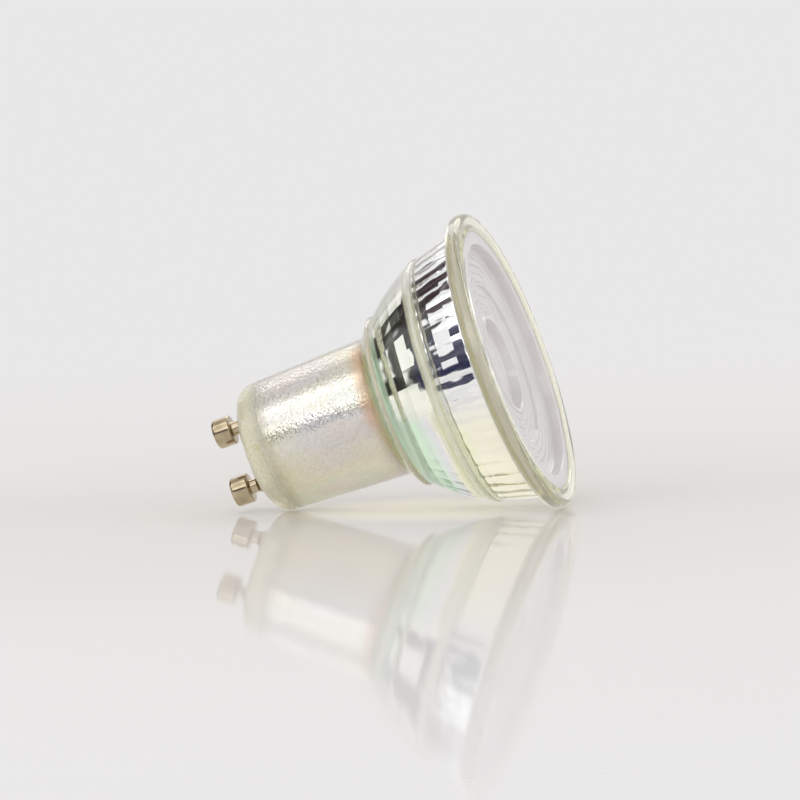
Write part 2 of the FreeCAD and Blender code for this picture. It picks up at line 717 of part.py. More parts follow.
for side, sign in SIDES:
    fuse_pieces.append(
        cylinder(
            "fuse_lead_down_" + side,
            "Lamp.fuse_lead_radius * 0.95",
            "Lamp.fuse_radius + Lamp.wire_gap",
            x=sign + FUSE_LEAD_X,
            y=FUSE_Y,
            z=FUSE_Z,
            axis="-y",
        )
    )
node(joined("fuse_joined", fuse_pieces), "fuse_resistor")


# Packages on the other face of the board: a body on small feet
def package(label, key, x, z):
    size = "Lamp." + key + "_"
    foot_tall = 0.3
    pieces = [
        box(
            key + "_body",
            size + "across",
            size + "thick",
            size + "along",
            "%s - %sacross / 2" % (x, size),
            "%s - Lamp.standoff - %sthick" % (BOARD_BACK_Y, size),
            "%s - %salong / 2" % (z, size),
        )
    ]
    count = int(value(size + "leads"))
    for lead in range(count):
        shift = "%spitch * (%d - %d / 2)" % (size, lead, count - 1)
        pieces.append(
            box(
                "%s_foot_%d" % (key, lead),
                "%sacross + 2 * %sfoot_long" % (size, size),
                str(foot_tall),
                size + "foot_wide",
                "%s - %sacross / 2 - %sfoot_long" % (x, size, size),
                "%s - %s" % (BOARD_BACK_Y, foot_tall),
                "%s + %s - %sfoot_wide / 2" % (z, shift, size),
            )
        )
    return node(joined(key + "_joined", pieces), label)


package("bridge_rectifier", "bridge", "0", "(" + BOARD_REAR_Z + " - Lamp.bridge_back)")
package("driver_chip", "chip", "0", along_board("0.485"))
package("output_diode", "diode", "-Lamp.diode_off", along_board("0.2"))


def block(label, key, z):
    """Plain surface-mounted block that lies on the board."""
    size = "Lamp." + key + "_"
    return node(
        box(
            label + "_box",
            size + "across",
            size + "thick",
            size + "along",
            "%soff - %sacross / 2" % (size, size),
            "%s - %sthick" % (BOARD_BACK_Y, size),
            "%s - %salong / 2" % (z, size),
        ),
        label,
    )


block("sense_resistor_a", "sense", along_board("0.2"))
block("sense_resistor_b", "sense", "(" + along_board("0.2") + " + Lamp.sense_pitch)")
block("output_capacitor", "block", along_board("0.63"))

# Every object has to be sound before anything is written
doc.recompute()
for thing in doc.Objects:
    if "Invalid" in thing.State or "Error" in thing.State:
        raise RuntimeError("failed: %s %s" % (thing.Name, thing.State))
for thing in nodes:
    shape = thing.Shape
    if shape.isNull() or not shape.isValid() or len(shape.Solids) != 1:
        raise RuntimeError("unsound piece: %s" % thing.Label)

os.makedirs("parts", exist_ok=True)
for thing in nodes:
    thing.Shape.exportStep("parts/%s.step" % thing.Label)
    print("%-18s %9.1f mm3" % (thing.Label, thing.Shape.Volume))
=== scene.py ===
import math

import bmesh
import bpy
import numpy as np
from mathutils import Matrix, Vector


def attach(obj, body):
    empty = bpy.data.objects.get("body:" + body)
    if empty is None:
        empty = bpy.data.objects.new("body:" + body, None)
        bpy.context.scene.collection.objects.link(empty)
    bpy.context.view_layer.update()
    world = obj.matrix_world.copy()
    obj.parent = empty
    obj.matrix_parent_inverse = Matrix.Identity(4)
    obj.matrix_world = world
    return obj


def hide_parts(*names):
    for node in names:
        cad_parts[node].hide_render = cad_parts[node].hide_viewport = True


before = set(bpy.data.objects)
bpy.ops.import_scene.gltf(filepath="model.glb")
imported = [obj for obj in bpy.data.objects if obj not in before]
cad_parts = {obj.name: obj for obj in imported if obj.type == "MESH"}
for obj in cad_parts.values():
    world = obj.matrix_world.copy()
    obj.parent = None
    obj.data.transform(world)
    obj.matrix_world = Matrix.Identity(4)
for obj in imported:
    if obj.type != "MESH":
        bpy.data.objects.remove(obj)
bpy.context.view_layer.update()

# Shapes are in millimetres, as (radius, height along the lamp's axis from the rim's front plane)
MM = 0.001

# View of the photograph: slope of the lamp's axis, turn of the lens to the camera and turn of the pins
AXIS_SLOPE = math.radians(19.87)
LENS_TURN = math.radians(12.73)
PIN_TURN = math.radians(100.0)

# Camera: rim's centre in the image, image width and focal length in pixels, distance and clipping in metres
RIM_CENTRE_PX = (518.6, 358.3)
IMAGE_PX = 800.0
FOCAL_PX = 6210.0
SENSOR_WIDTH = 36.0
CAMERA_DISTANCE = 1.0
CLIP_START = 0.05
CLIP_END = 100.0

# How often light is followed through glass, and from gloss to gloss
GLASS_BOUNCES = 24
GLOSS_BOUNCES = 12

# Table: tilt to the lamp's axis, drop below the rim's centre, and half its width in metres
FLOOR_TILT = math.radians(18.65)
FLOOR_DROP = 24.255
FLOOR_REACH = 1.0

# Point on the lamp's axis that the lights face
MIDDLE = Vector((0, 0, 24.0 * MM))

# Glass rim and the opening with the seat of the lens
RIM_RADIUS = 25.0
RIM_HEIGHT = 2.6
RIM_ROUND = 1.0
OPENING_RADIUS = 22.1
OPENING_ROUND = 0.25
FRONT_FLAT = 22.45
SEAT_RADIUS = 21.0
SEAT_Z = 2.05

# Outside of the glass: ends of the band, the bowl and the neck, and the closed end
BAND_FRONT = (22.8, RIM_HEIGHT)
BAND_STRAIGHT = (22.69, 3.0)
BAND_REAR = (20.7, 10.2)
BAND_ROUND = 0.35
BOWL_FRONT = (20.6, 11.2)
BOWL_REAR = (14.3, 20.1)
BOWL_ARC = 40.0
BEAD_RISE = 0.18
BEAD_FULLNESS = 3.2
FRONT_BEAD_WIDE = 1.0
REAR_BEAD_WIDE = 0.7
REAR_BEAD_Z = 20.25
REAR_Z = 46.0
SHOULDER = (14.3, 21.1)
NECK_FRONT = (11.7, 22.7)
NECK_REAR = (10.8, REAR_Z)
NECK_STRAIGHT = ((11.66, 23.6), (10.95, 42.6))
NECK_ROUND = 0.8
REAR_ROUND = 3.0

# Hollow of the glass: neck, step over the light source's plate, and the ends of the two reflector tiers
HOLLOW_Z = 43.0
HOLLOW_REAR = (9.1, HOLLOW_Z)
HOLLOW_STRAIGHT = (9.15, 41.7)
HOLLOW_ROUND = 1.0
STEP_Z = 20.66
HOLLOW_FRONT = (10.0, STEP_Z)
STEP_RADIUS = 11.76
STEP_WALL_Z = 19.7
MOUTH_Z = 19.4
MOUTH_ROUND = 0.5
LOWER_REAR = (12.75, 18.6)
TIER_MEETING = (18.6, 10.7)
UPPER_FRONT = (SEAT_RADIUS, SEAT_Z)

# Flutes of the reflector, with the mesh steps across a flute and along one row of tiles in each tier
FLUTES = 40
PITCH = 2 * math.pi / FLUTES
FLUTE_STEPS = 8
TURN_STEPS = FLUTES * FLUTE_STEPS
LOWER_ROWS = 4
LOWER_STEPS = 8
UPPER_ROWS = 3
UPPER_STEPS = 16

# Heights between which the edges of the tiles are sharp
LOWER_CREASES_FROM = 11.4
UPPER_CREASES = (2.9, 10.3)

# Waves of the pressed surface: turns round the lamp, radians along a millimetre, start and share
RIPPLES = ((23, 0.9, 0.4, 0.4), (31, -1.3, 2.1, 0.3), (13, 0.6, 4.0, 0.3), (53, 1.9, 1.2, 0.15))

# Contact pins and their holes in the closed end
PIN_X = 5.0
HOLE_RADIUS = 1.35
HOLE_STEPS = 32
COLLAR_RADIUS = 1.9
COLLAR_FRONT = 42.4
COLLAR_REAR = 42.96
SHANK_RADIUS = 1.3
SHANK_TAPER = 0.15
SWELLING = 0.32
SWELLING_Z = 46.1
SWELLING_LENGTH = 1.5
SWELLING_STEPS = 12
HEAD_RADIUS = 2.45
HEAD_Z = 48.8
HEAD_STRAIGHT = (49.1, 51.3)
HEAD_FLAT = 1.95
HEAD_ROOT_ROUND = 0.2
HEAD_REAR_ROUND = 0.25
HEAD_TOP_ROUND = 0.45
PIN_TOP = 51.8
DIMPLE_ROUND = 0.2
DIMPLE_RADIUS = 0.9
DIMPLE_Z = 51.68

# Lens: the well, the groove round it, the two ringed steps, the flange, the skirt and the cone behind
WELL_Z = 4.4
GROOVE_Z = 2.45
INNER_RINGS_Z = 2.7
INNER_RINGS = (8.5, 12.9)
INNER_RING_COUNT = 3
OUTER_RINGS_Z = 2.2
OUTER_RINGS = (13.6, 19.2)
OUTER_RING_COUNT = 4
RING_DEPTH = 0.22
WELL_ROUND = 0.3
RING_STEP_ROUND = 0.15
WALL_ROUND = 0.25
FLANGE_ROUND = 0.2
SKIRT_ROUND = 0.3
CONE_ROUND = 0.25
FLANGE_FRONT = 0.4
FLANGE_REAR = 1.9
FLANGE_RADIUS = 22.0
SKIRT_RADIUS = 20.0
SKIRT_Z = 4.2
CONE_FRONT = (14.6, SKIRT_Z)
CONE_REAR = (5.4, 16.9)
CONE_ARC = 34.0
POCKET_RADIUS = 4.2
POCKET_Z = 12.4

# Turned pieces: gap between outline and axis, which a small face closes, and steps round the axis
AXIS_GAP = 0.05
LENS_STEPS = 192
PIN_STEPS = 96

# Angles in degrees from which an edge is shaded sharp
GLASS_SHARP = 24.0
LENS_SHARP = 40.0
PIN_SHARP = 35.0

# Material slots: clear glass with a coated hollow, clear lens with a frosted back
CLEAR_SLOT = 0
FILM_SLOT = 1
FROSTED_SLOT = 1

# Sockets of the node that mixes two colours
MIX_SHARE, MIX_ONE, MIX_TWO, MIX_RESULT = 0, 6, 7, 2


def columns(x_axis, y_axis, z_axis):
    """Rotation that turns the frame's axes into three given directions."""
    return Matrix((x_axis, y_axis, z_axis)).transposed()


def camera_axes():
    """Part's axes as columns in the camera's frame, x right, y up, z to the camera; and the table's up."""
    to_camera = Vector((0, 0, 1))
    flat = math.cos(LENS_TURN)
    axis = Vector((-math.cos(AXIS_SLOPE) * flat, -math.sin(AXIS_SLOPE) * flat, -math.sin(LENS_TURN)))
    side = axis.cross(to_camera).normalized()
    near = side.cross(axis).normalized()
    x_axis = near * math.cos(PIN_TURN) + side * math.sin(PIN_TURN)
    y_axis = axis.cross(x_axis)
    up = side * math.cos(FLOOR_TILT) - axis * math.sin(FLOOR_TILT)
    return columns(x_axis, y_axis, axis), up


PART_TO_CAMERA, UP_IN_CAMERA = camera_axes()
CAMERA_TO_PART = PART_TO_CAMERA.transposed()


def from_camera(x, y, z):
    """Direction given in the camera's frame, turned into the part's frame."""
    return (CAMERA_TO_PART @ Vector((x, y, z))).normalized()


FLOOR_UP = from_camera(*UP_IN_CAMERA)
TO_CAMERA = from_camera(0, 0, 1)
IMAGE_UP = from_camera(0, 1, 0)
IMAGE_LEFT = from_camera(-1, 0, 0)


def add_object(name, data):
    """New object of the scene."""
    obj = bpy.data.objects.new(name, data)
    bpy.context.scene.collection.objects.link(obj)
    return obj


def fillet(before, corner, after, radius, steps=8):
    """Points of the arc that rounds a corner of an outline."""
    corner = Vector(corner)
    one = (Vector(before) - corner).normalized()
    two = (Vector(after) - corner).normalized()
    half = one.angle(two) / 2
    reach = radius / math.tan(half)
    centre = corner + (one + two).normalized() * (radius / math.sin(half))
    start = corner + one * reach - centre
    end = corner + two * reach - centre
    turn = start.angle(end)
    points = []
    for step in range(steps + 1):
        share = step / steps
        low = math.sin((1 - share) * turn) / math.sin(turn)
        high = math.sin(share * turn) / math.sin(turn)
        points.append(tuple(centre + start * low + end * high))
    return points


def line(start, end, steps):
    """Points from start up to, and not with, end."""
    return [
        (start[0] + (end[0] - start[0]) * k / steps, start[1] + (end[1] - start[1]) * k / steps)
        for k in range(steps)
    ]


def bead(radius_front, radius_rear, z, wide, steps=12):
    """Rounded raised ring on the outside of the glass."""
    points = []
    for k in range(steps + 1):
        share = k / steps
        swell = 1 - abs(2 * share - 1) ** BEAD_FULLNESS
        radius = radius_front + (radius_rear - radius_front) * share + BEAD_RISE * swell
        points.append((radius, z + wide * share))
    return points


def bulged(start, end, radius, steps):
    """Points of an arc from start up to, and not with, end that stands out from the axis."""
    a = Vector(start)
    b = Vector(end)
    half = (b - a).length / 2
    across = Vector(((b - a).y, -(b - a).x)).normalized()
    drop = math.sqrt(radius * radius - half * half)
    centre = (a + b) / 2 - across * drop
    points = []
    for k in range(steps):
        point = a + (b - a) * (k / steps)
        points.append(tuple(centre + (point - centre).normalized() * radius))
    return points


def waves(start, end, z, count, depth, steps=10):
    """Front of the lens between two radii: rounded ring grooves side by side."""
    points = []
    total = count * steps
    for k in range(total + 1):
        share = k / total
        swing = 0.5 - 0.5 * math.cos(2 * math.pi * count * share)
        points.append((start + (end - start) * share, z + depth * swing))
    return points


def tier_rows(front, rear, rows, bulge):
    """Radius and height of the row limits of a reflector tier."""
    limits = []
    for row in range(rows + 1):
        share = row / rows
        radius = front[0] + (rear[0] - front[0]) * share + bulge * 4 * share * (1 - share)
        limits.append((radius, front[1] + (rear[1] - front[1]) * share))
    return limits


def ripple(angles, height):
    """Shallow unevenness of the pressed surface, about -1 to 1, from a few waves round and along it."""
    total = np.zeros_like(angles)
    for turns, rise, start, share in RIPPLES:
        total += share * np.sin(turns * angles + rise * height + start)
    return total


def tier_rings(limits, shift, pillow, steps, plain_ends, uneven):
    """Rings of a fluted tier from its first row limit to its last: (radii round the ring, height).

    The flutes start at the angle shift, bulge by pillow and are uneven by up to the last number. The tier
    runs out into a plain cone at each end; plain_ends gives the heights there and how round the flutes'
    ends are, as (height, arch, blend) for the first and the last end.
    """
    angles = np.arange(TURN_STEPS) * 2 * math.pi / TURN_STEPS
    across = ((angles - shift) / PITCH) % 1.0
    flat = math.cos(PITCH / 2) / np.cos((across - 0.5) * PITCH)
    hump = 1 - (2 * across - 1) ** 2
    rings = []
    for (r0, z0), (r1, z1) in zip(limits[:-1], limits[1:]):
        for k in range(steps):
            share = k / steps
            radius = r0 + (r1 - r0) * share
            height = z0 + (z1 - z0) * share
            fluted = radius * flat + pillow * hump + uneven * ripple(angles, height)
            blend = np.ones(TURN_STEPS)
            for (end, arch, wide), sign in zip(plain_ends, (-1, 1)):
                start = end + sign * arch * (2 * across - 1) ** 2
                part = np.clip(sign * (height - start) / wide, 0, 1)
                blend = blend * part * part * (3 - 2 * part)
            plain = radius * math.cos(PITCH / 2)
            rings.append((plain * (1 - blend) + fluted * blend, height))
    return rings


def smooth(mesh, angle):
    """Smooth shading with sharp edges where faces meet at more than the angle in degrees."""
    mesh.polygons.foreach_set("use_smooth", [True] * len(mesh.polygons))
    mesh.set_sharp_from_angle(angle=math.radians(angle))
    mesh.update()


def ring_mesh(name, rings, turns, slots=None, gaps=()):
    """Mesh of rings of points joined by quads, apart from the gaps; a ring is (radius or radii, height)."""
    angles = np.arange(turns) * 2 * math.pi / turns
    points = []
    for radius, height in rings:
        radii = np.broadcast_to(radius, angles.shape)
        points.append(np.stack((radii * np.cos(angles), radii * np.sin(angles), np.full(turns, height)), 1))
    vertices = np.concatenate(points) * MM
    faces = []
    indices = []
    for k in range(len(rings)):
        if k in gaps:
            continue
        low = k * turns
        high = ((k + 1) % len(rings)) * turns
        for j in range(turns):
            n = (j + 1) % turns
            faces.append((low + j, low + n, high + n, high + j))
            indices.append(slots[k] if slots else 0)
    mesh = bpy.data.meshes.new(name)
    mesh.from_pydata(vertices.tolist(), [], faces)
    mesh.polygons.foreach_set("material_index", indices)
    mesh.update()
    return mesh


def opened(mesh):
    """Editable copy of a mesh."""
    bm = bmesh.new()
    bm.from_mesh(mesh)
    return bm


def ring_verts(bm, ring, turns):
    """Points of one ring of a mesh that is made of rings."""
    bm.verts.ensure_lookup_table()
    return [bm.verts[ring * turns + j] for j in range(turns)]


def written_back(bm, mesh):
    """Write an edited copy back to its mesh with the normals turned outwards."""
    bmesh.ops.recalc_face_normals(bm, faces=bm.faces[:])
    bm.to_mesh(mesh)
    bm.free()


def lathe(name, profile, turns, angle, slots=None):
    """Closed turned piece from an outline that starts and ends near the axis."""
    mesh = ring_mesh(name, profile, turns, slots, gaps={len(profile) - 1})
    bm = opened(mesh)
    for ring in (0, len(profile) - 1):
        bm.faces.new(ring_verts(bm, ring, turns))
    written_back(bm, mesh)
    smooth(mesh, angle)
    return mesh


class Nodes:
    """Small helper that adds and links nodes of one tree."""

    def __init__(self, tree, coordinates):
        self.tree = tree
        self.tree.nodes.clear()
        self.place = self.add("ShaderNodeTexCoord").outputs[coordinates]

    def add(self, kind, **settings):
        node = self.tree.nodes.new(kind)
        for key, setting in settings.items():
            setattr(node, key, setting)
        return node

    def link(self, start, end):
        self.tree.links.new(start, end)

    def fill(self, socket, value):
        """Put a number or a colour on a socket, or link an output to it."""
        if isinstance(value, (int, float)):
            socket.default_value = value
        elif isinstance(value, tuple):
            socket.default_value = (*value, 1.0)
        else:
            self.link(value, socket)

    def noise(self, scale, detail=3.0, roughness=0.55, stretch=None):
        node = self.add("ShaderNodeTexNoise")
        node.inputs["Scale"].default_value = scale
        node.inputs["Detail"].default_value = detail
        node.inputs["Roughness"].default_value = roughness
        source = self.place
        if stretch:
            mapping = self.add("ShaderNodeMapping")
            mapping.inputs["Scale"].default_value = stretch
            self.link(self.place, mapping.inputs["Vector"])
            source = mapping.outputs["Vector"]
        self.link(source, node.inputs["Vector"])
        return node.outputs["Fac"]

    def ramp(self, source, stops):
        node = self.add("ShaderNodeValToRGB")
        elements = node.color_ramp.elements
        while len(elements) < len(stops):
            elements.new(0.5)
        for element, (place, colour) in zip(elements, stops):
            element.position = place
            element.color = (*colour, 1.0)
        self.link(source, node.inputs["Fac"])
        return node.outputs["Color"]

    def spread(self, source, low, high, to_low=0.0, to_high=1.0):
        """Smooth change from one value to another between two values of the source."""
        node = self.add("ShaderNodeMapRange", interpolation_type="SMOOTHSTEP")
        for key, number in (("From Min", low), ("From Max", high), ("To Min", to_low), ("To Max", to_high)):
            node.inputs[key].default_value = number
        self.link(source, node.inputs["Value"])
        return node.outputs["Result"]

    def fall(self, source, low, high):
        """1 up to the first value, and 0 from the second on."""
        return self.spread(source, low, high, 1.0, 0.0)

    def bell(self, source, low, high, soft):
        """1 between two values and 0 outside them, with soft edges."""
        return self.times(self.spread(source, low, low + soft), self.fall(source, high - soft, high))

    def math(self, operation, one, two=0.0):
        node = self.add("ShaderNodeMath", operation=operation)
        self.fill(node.inputs[0], one)
        self.fill(node.inputs[1], two)
        return node.outputs["Value"]

    def plus(self, one, two):
        return self.math("ADD", one, two)

    def minus(self, one, two):
        return self.math("SUBTRACT", one, two)

    def times(self, one, two):
        return self.math("MULTIPLY", one, two)

    def larger(self, one, two):
        return self.math("MAXIMUM", one, two)

    def length(self, one, two):
        """Length of a line from its two shares at right angles."""
        return self.math("SQRT", self.plus(self.times(one, one), self.times(two, two)))

    def mix(self, share, one, two, blend="MIX"):
        node = self.add("ShaderNodeMix", data_type="RGBA", blend_type=blend)
        for socket, value in ((MIX_SHARE, share), (MIX_ONE, one), (MIX_TWO, two)):
            self.fill(node.inputs[socket], value)
        return node.outputs[MIX_RESULT]

    def tinted(self, colours, tint):
        """Colours multiplied by a tint."""
        return self.mix(1.0, colours, tint, "MULTIPLY")

    def blended(self, share, one, two):
        """Mix of two surfaces."""
        node = self.add("ShaderNodeMixShader")
        self.fill(node.inputs["Fac"], share)
        self.link(one, node.inputs[1])
        self.link(two, node.inputs[2])
        return node.outputs["Shader"]

    def dot(self, direction, source=None):
        """Share of the coordinates, or of another source, along a fixed direction."""
        node = self.add("ShaderNodeVectorMath", operation="DOT_PRODUCT")
        self.link(source or self.place, node.inputs[0])
        node.inputs[1].default_value = direction
        return node.outputs["Value"]

    def ellipse(self, across, along, centre, radii, edge, tilt=0.0):
        """Soft-edged patch, 1 inside and 0 outside, with its first radius tilted in degrees."""
        turn = math.radians(tilt)
        from_x = self.minus(across, centre[0])
        from_y = self.minus(along, centre[1])
        squares = []
        for radius, x_share, y_share in (
            (radii[0], math.cos(turn), math.sin(turn)),
            (radii[1], -math.sin(turn), math.cos(turn)),
        ):
            part = self.plus(self.times(from_x, x_share / radius), self.times(from_y, y_share / radius))
            squares.append(self.times(part, part))
        return self.fall(self.plus(*squares), 1.0 - edge, 1.0 + edge)

    def in_reflections(self):
        """1 where gloss or clear glass looks, and 0 for the camera and for plain light."""
        path = self.add("ShaderNodeLightPath")
        return self.larger(path.outputs["Is Glossy Ray"], path.outputs["Is Transmission Ray"])


class Shader(Nodes):
    """Nodes of one surface material round its main shader."""

    def __init__(self, name):
        self.material = bpy.data.materials.new(name)
        self.material.use_nodes = True
        super().__init__(self.material.node_tree, "Object")
        self.output = self.add("ShaderNodeOutputMaterial")
        self.main = self.add("ShaderNodeBsdfPrincipled")
        self.link(self.main.outputs["BSDF"], self.output.inputs["Surface"])

    def set(self, **numbers):
        for key, number in numbers.items():
            self.main.inputs[key.replace("_", " ")].default_value = number

    def feed(self, key, source):
        self.link(source, self.main.inputs[key])

    def height(self):
        """Height along the lamp's axis in millimetres."""
        return self.dot((0.0, 0.0, 1.0 / MM))

    def turn_from(self, degrees):
        """Cosine of the turn round the lamp's axis from a given one."""
        turn = math.radians(degrees)
        forward = self.dot((math.cos(turn), math.sin(turn), 0.0))
        aside = self.dot((-math.sin(turn), math.cos(turn), 0.0))
        return self.math("DIVIDE", forward, self.length(forward, aside))

    def side(self, degrees, edge, inside):
        """1 on one side of the lamp, 0 beyond its edge: a turn, and cosines of the turn from it."""
        return self.spread(self.turn_from(degrees), edge, inside)

    def bump(self, source, strength, distance):
        node = self.add("ShaderNodeBump")
        node.inputs["Strength"].default_value = strength
        node.inputs["Distance"].default_value = distance
        self.link(source, node.inputs["Height"])
        self.feed("Normal", node.outputs["Normal"])


def grained(name, dark, light, scale, rough, metallic=0.0, bump=0.2):
    """Plain surface with a little variation of colour, gloss and relief."""
    shader = Shader(name)
    grain = shader.noise(scale, detail=4.0)
    shader.feed("Base Color", shader.ramp(grain, [(0.3, dark), (0.7, light)]))
    shader.feed("Roughness", shader.spread(grain, 0.2, 0.8, rough * 0.8, rough * 1.2))
    shader.set(Metallic=metallic)
    shader.bump(grain, bump, distance=0.00003)
    return shader.material


# Pressed glass: colours between the grains, of the sanded end, of the rim and in the depth of the wall
GLASS_GRAINS = [(0.3, (0.985, 0.985, 0.955)), (0.65, (1.0, 1.0, 0.99))]
GLASS_SAND = [(0.36, (0.88, 0.82, 0.48)), (0.56, (1.0, 0.99, 0.90))]
GLASS_RIM = (0.96, 0.945, 0.83)
GLASS_DEPTH = (0.97, 0.945, 0.62, 1.0)
GLASS_DENSITY = 28.0

# Share of light that the glass lets through, and what milkiness takes from it
GLASS_CLEAR = 0.98
RIM_MILK = 0.10
END_MILK = 0.62
BEAD_MILK = 0.30

# Heights at which the glass changes: (start, end) of a soft edge, or (start, end, softness) of a zone
RIM_EDGE = (2.4, 2.9)
NECK_EDGE = (21.5, 23.5)
END_EDGE = (40.5, 43.5)
FRONT_BEAD_ZONE = (10.0, 11.4, 0.4)
REAR_BEAD_ZONE = (20.1, 21.1, 0.3)

# Relief of the glass: grain on the neck, on the closed end and elsewhere, and long waves
NECK_GRAIN = 0.75
END_GRAIN = 0.75
PLAIN_GRAIN = 0.03
LONG_WAVES = 0.1


def clear_glass():
    """Pressed glass: grained on the neck and the closed end, smoother on the bowl, faint yellow in depth."""
    shader = Shader("pressed_glass")
    shader.set(Roughness=0.015, IOR=1.5)
    height = shader.height()
    on_rim = shader.fall(height, *RIM_EDGE)
    on_neck = shader.spread(height, *NECK_EDGE)
    on_end = shader.spread(height, *END_EDGE)
    on_beads = shader.plus(shader.bell(height, *FRONT_BEAD_ZONE), shader.bell(height, *REAR_BEAD_ZONE))
    grain = shader.noise(2300.0, detail=1.0, roughness=0.5)
    sand = shader.noise(4200.0, detail=1.0, roughness=0.5)
    rimmed = shader.mix(on_rim, shader.ramp(grain, GLASS_GRAINS), GLASS_RIM)
    shader.feed("Base Color", shader.mix(on_end, rimmed, shader.ramp(sand, GLASS_SAND)))
    milky = shader.plus(shader.times(on_rim, RIM_MILK), shader.times(on_end, END_MILK))
    milky = shader.plus(milky, shader.times(on_beads, BEAD_MILK))
    shader.feed("Transmission Weight", shader.minus(GLASS_CLEAR, milky))
    swells = shader.noise(220.0, detail=2.0, roughness=0.5)
    coarse = shader.plus(shader.times(on_neck, NECK_GRAIN), shader.times(on_end, END_GRAIN))
    fine = shader.times(grain, shader.plus(coarse, PLAIN_GRAIN))
    relief = shader.plus(fine, shader.times(swells, LONG_WAVES))
    shader.bump(relief, strength=0.8, distance=0.00009)
    absorb = shader.add("ShaderNodeVolumeAbsorption")
    absorb.inputs["Color"].default_value = GLASS_DEPTH
    absorb.inputs["Density"].default_value = GLASS_DENSITY
    shader.link(absorb.outputs["Volume"], shader.output.inputs["Volume"])
    return shader.material


# Mirror share of the film at shares of the glass's length: band, plain ring, bowl and neck
FILM_GLOSS = [
    (share, (value, value, value))
    for share, value in (
        (0.20, 0.93),
        (0.22, 0.28),
        (0.25, 0.28),
        (0.27, 0.85),
        (0.355, 0.85),
        (0.375, 0.25),
        (0.50, 0.10),
        (0.54, 0.58),
        (0.87, 0.58),
        (0.93, 0.25),
    )
]

# Colours of the film at shares of the glass's length, from the rim's front to the closed end
FILM_COLOURS = [
    (0.00, (0.92, 0.89, 0.80)),
    (0.09, (0.98, 0.95, 0.84)),
    (0.17, (0.98, 0.95, 0.84)),
    (0.225, (0.96, 0.97, 0.74)),
    (0.257, (0.97, 0.95, 0.70)),
    (0.288, (0.84, 0.82, 0.96)),
    (0.328, (0.74, 0.94, 0.81)),
    (0.41, (0.69, 0.92, 0.76)),
    (0.445, (0.90, 0.86, 0.52)),
    (0.475, (0.94, 0.80, 0.62)),
    (0.51, (0.93, 0.90, 0.97)),
    (0.55, (0.97, 0.96, 0.97)),
    (0.74, (0.96, 0.95, 0.97)),
    (0.90, (0.97, 0.95, 0.88)),
]

# Pearly grains and soft rainbow of the film on the neck
FILM_SPECKS = [(0.36, (0.88, 0.865, 0.83)), (0.60, (0.99, 0.98, 0.98))]
FILM_SHEEN = [
    (0.30, (1.0, 0.93, 0.92)),
    (0.42, (0.94, 0.94, 1.0)),
    (0.52, (1.0, 0.99, 0.90)),
    (0.62, (0.93, 1.0, 0.96)),
    (0.72, (1.0, 0.95, 0.97)),
]

# Tints of the film: upper side, mirrors of the band and the bowl, salmon root and shaded side of the neck
FILM_TOP = (0.97, 0.94, 0.93)
BAND_MIRROR = (0.89, 0.90, 1.0)
BOWL_MIRROR = (0.98, 0.99, 0.96)
NECK_FLUSH = (0.99, 0.66, 0.46)
NECK_SHADE = (0.87, 0.825, 0.74)

# Sides of the lamp with these tints: turn in degrees, and cosines of the turn from it at the edge and inside
TOP_SIDE = (-10.0, 0.62, 0.92)
BAND_MIRROR_SIDE = (-66.0, 0.50, 0.80)
BOWL_MIRROR_SIDE = (-75.0, 0.72, 0.86)
FLUSH_SIDE = (-70.0, 0.55, 0.9)
SHADE_SIDE = (170.0, -0.1, 0.6)
NECK_TOP_SIDE = (-10.0, 0.55, 0.75)

# Shares of the tints
TOP_SHARE = 0.75
BAND_MIRROR_SHARE = 0.8
BOWL_MIRROR_SHARE = 0.95
FLUSH_SHARE = 0.8

# How far the bands of colour wander along the axis
FILM_DRIFT = 6.0

# Heights at which the film changes: (start, end) of a soft edge, or (start, end, softness) of a zone
FILM_BAND_EDGE = (9.6, 10.1)
FILM_NECK_EDGE = (20.0, 22.0)
FILM_RING = (9.6, 11.7, 0.4)
FILM_BOWL = (11.2, 18.7, 0.5)
FILM_ROOT = (20.5, 25.8, 2.0)

# Gloss of the mirrors, of matt places, and how matt the neck is on its upper side
MIRROR_GLOSS = 0.98
MATT_GLOSS = 0.25
NECK_TOP_MATT = 0.25

# Roughness of the film, with what the neck and the plain ring add, and its grain off the neck
FILM_ROUGH = 0.03
NECK_ROUGH = 0.03
RING_ROUGH = 0.2
BOWL_GRAIN = 0.03


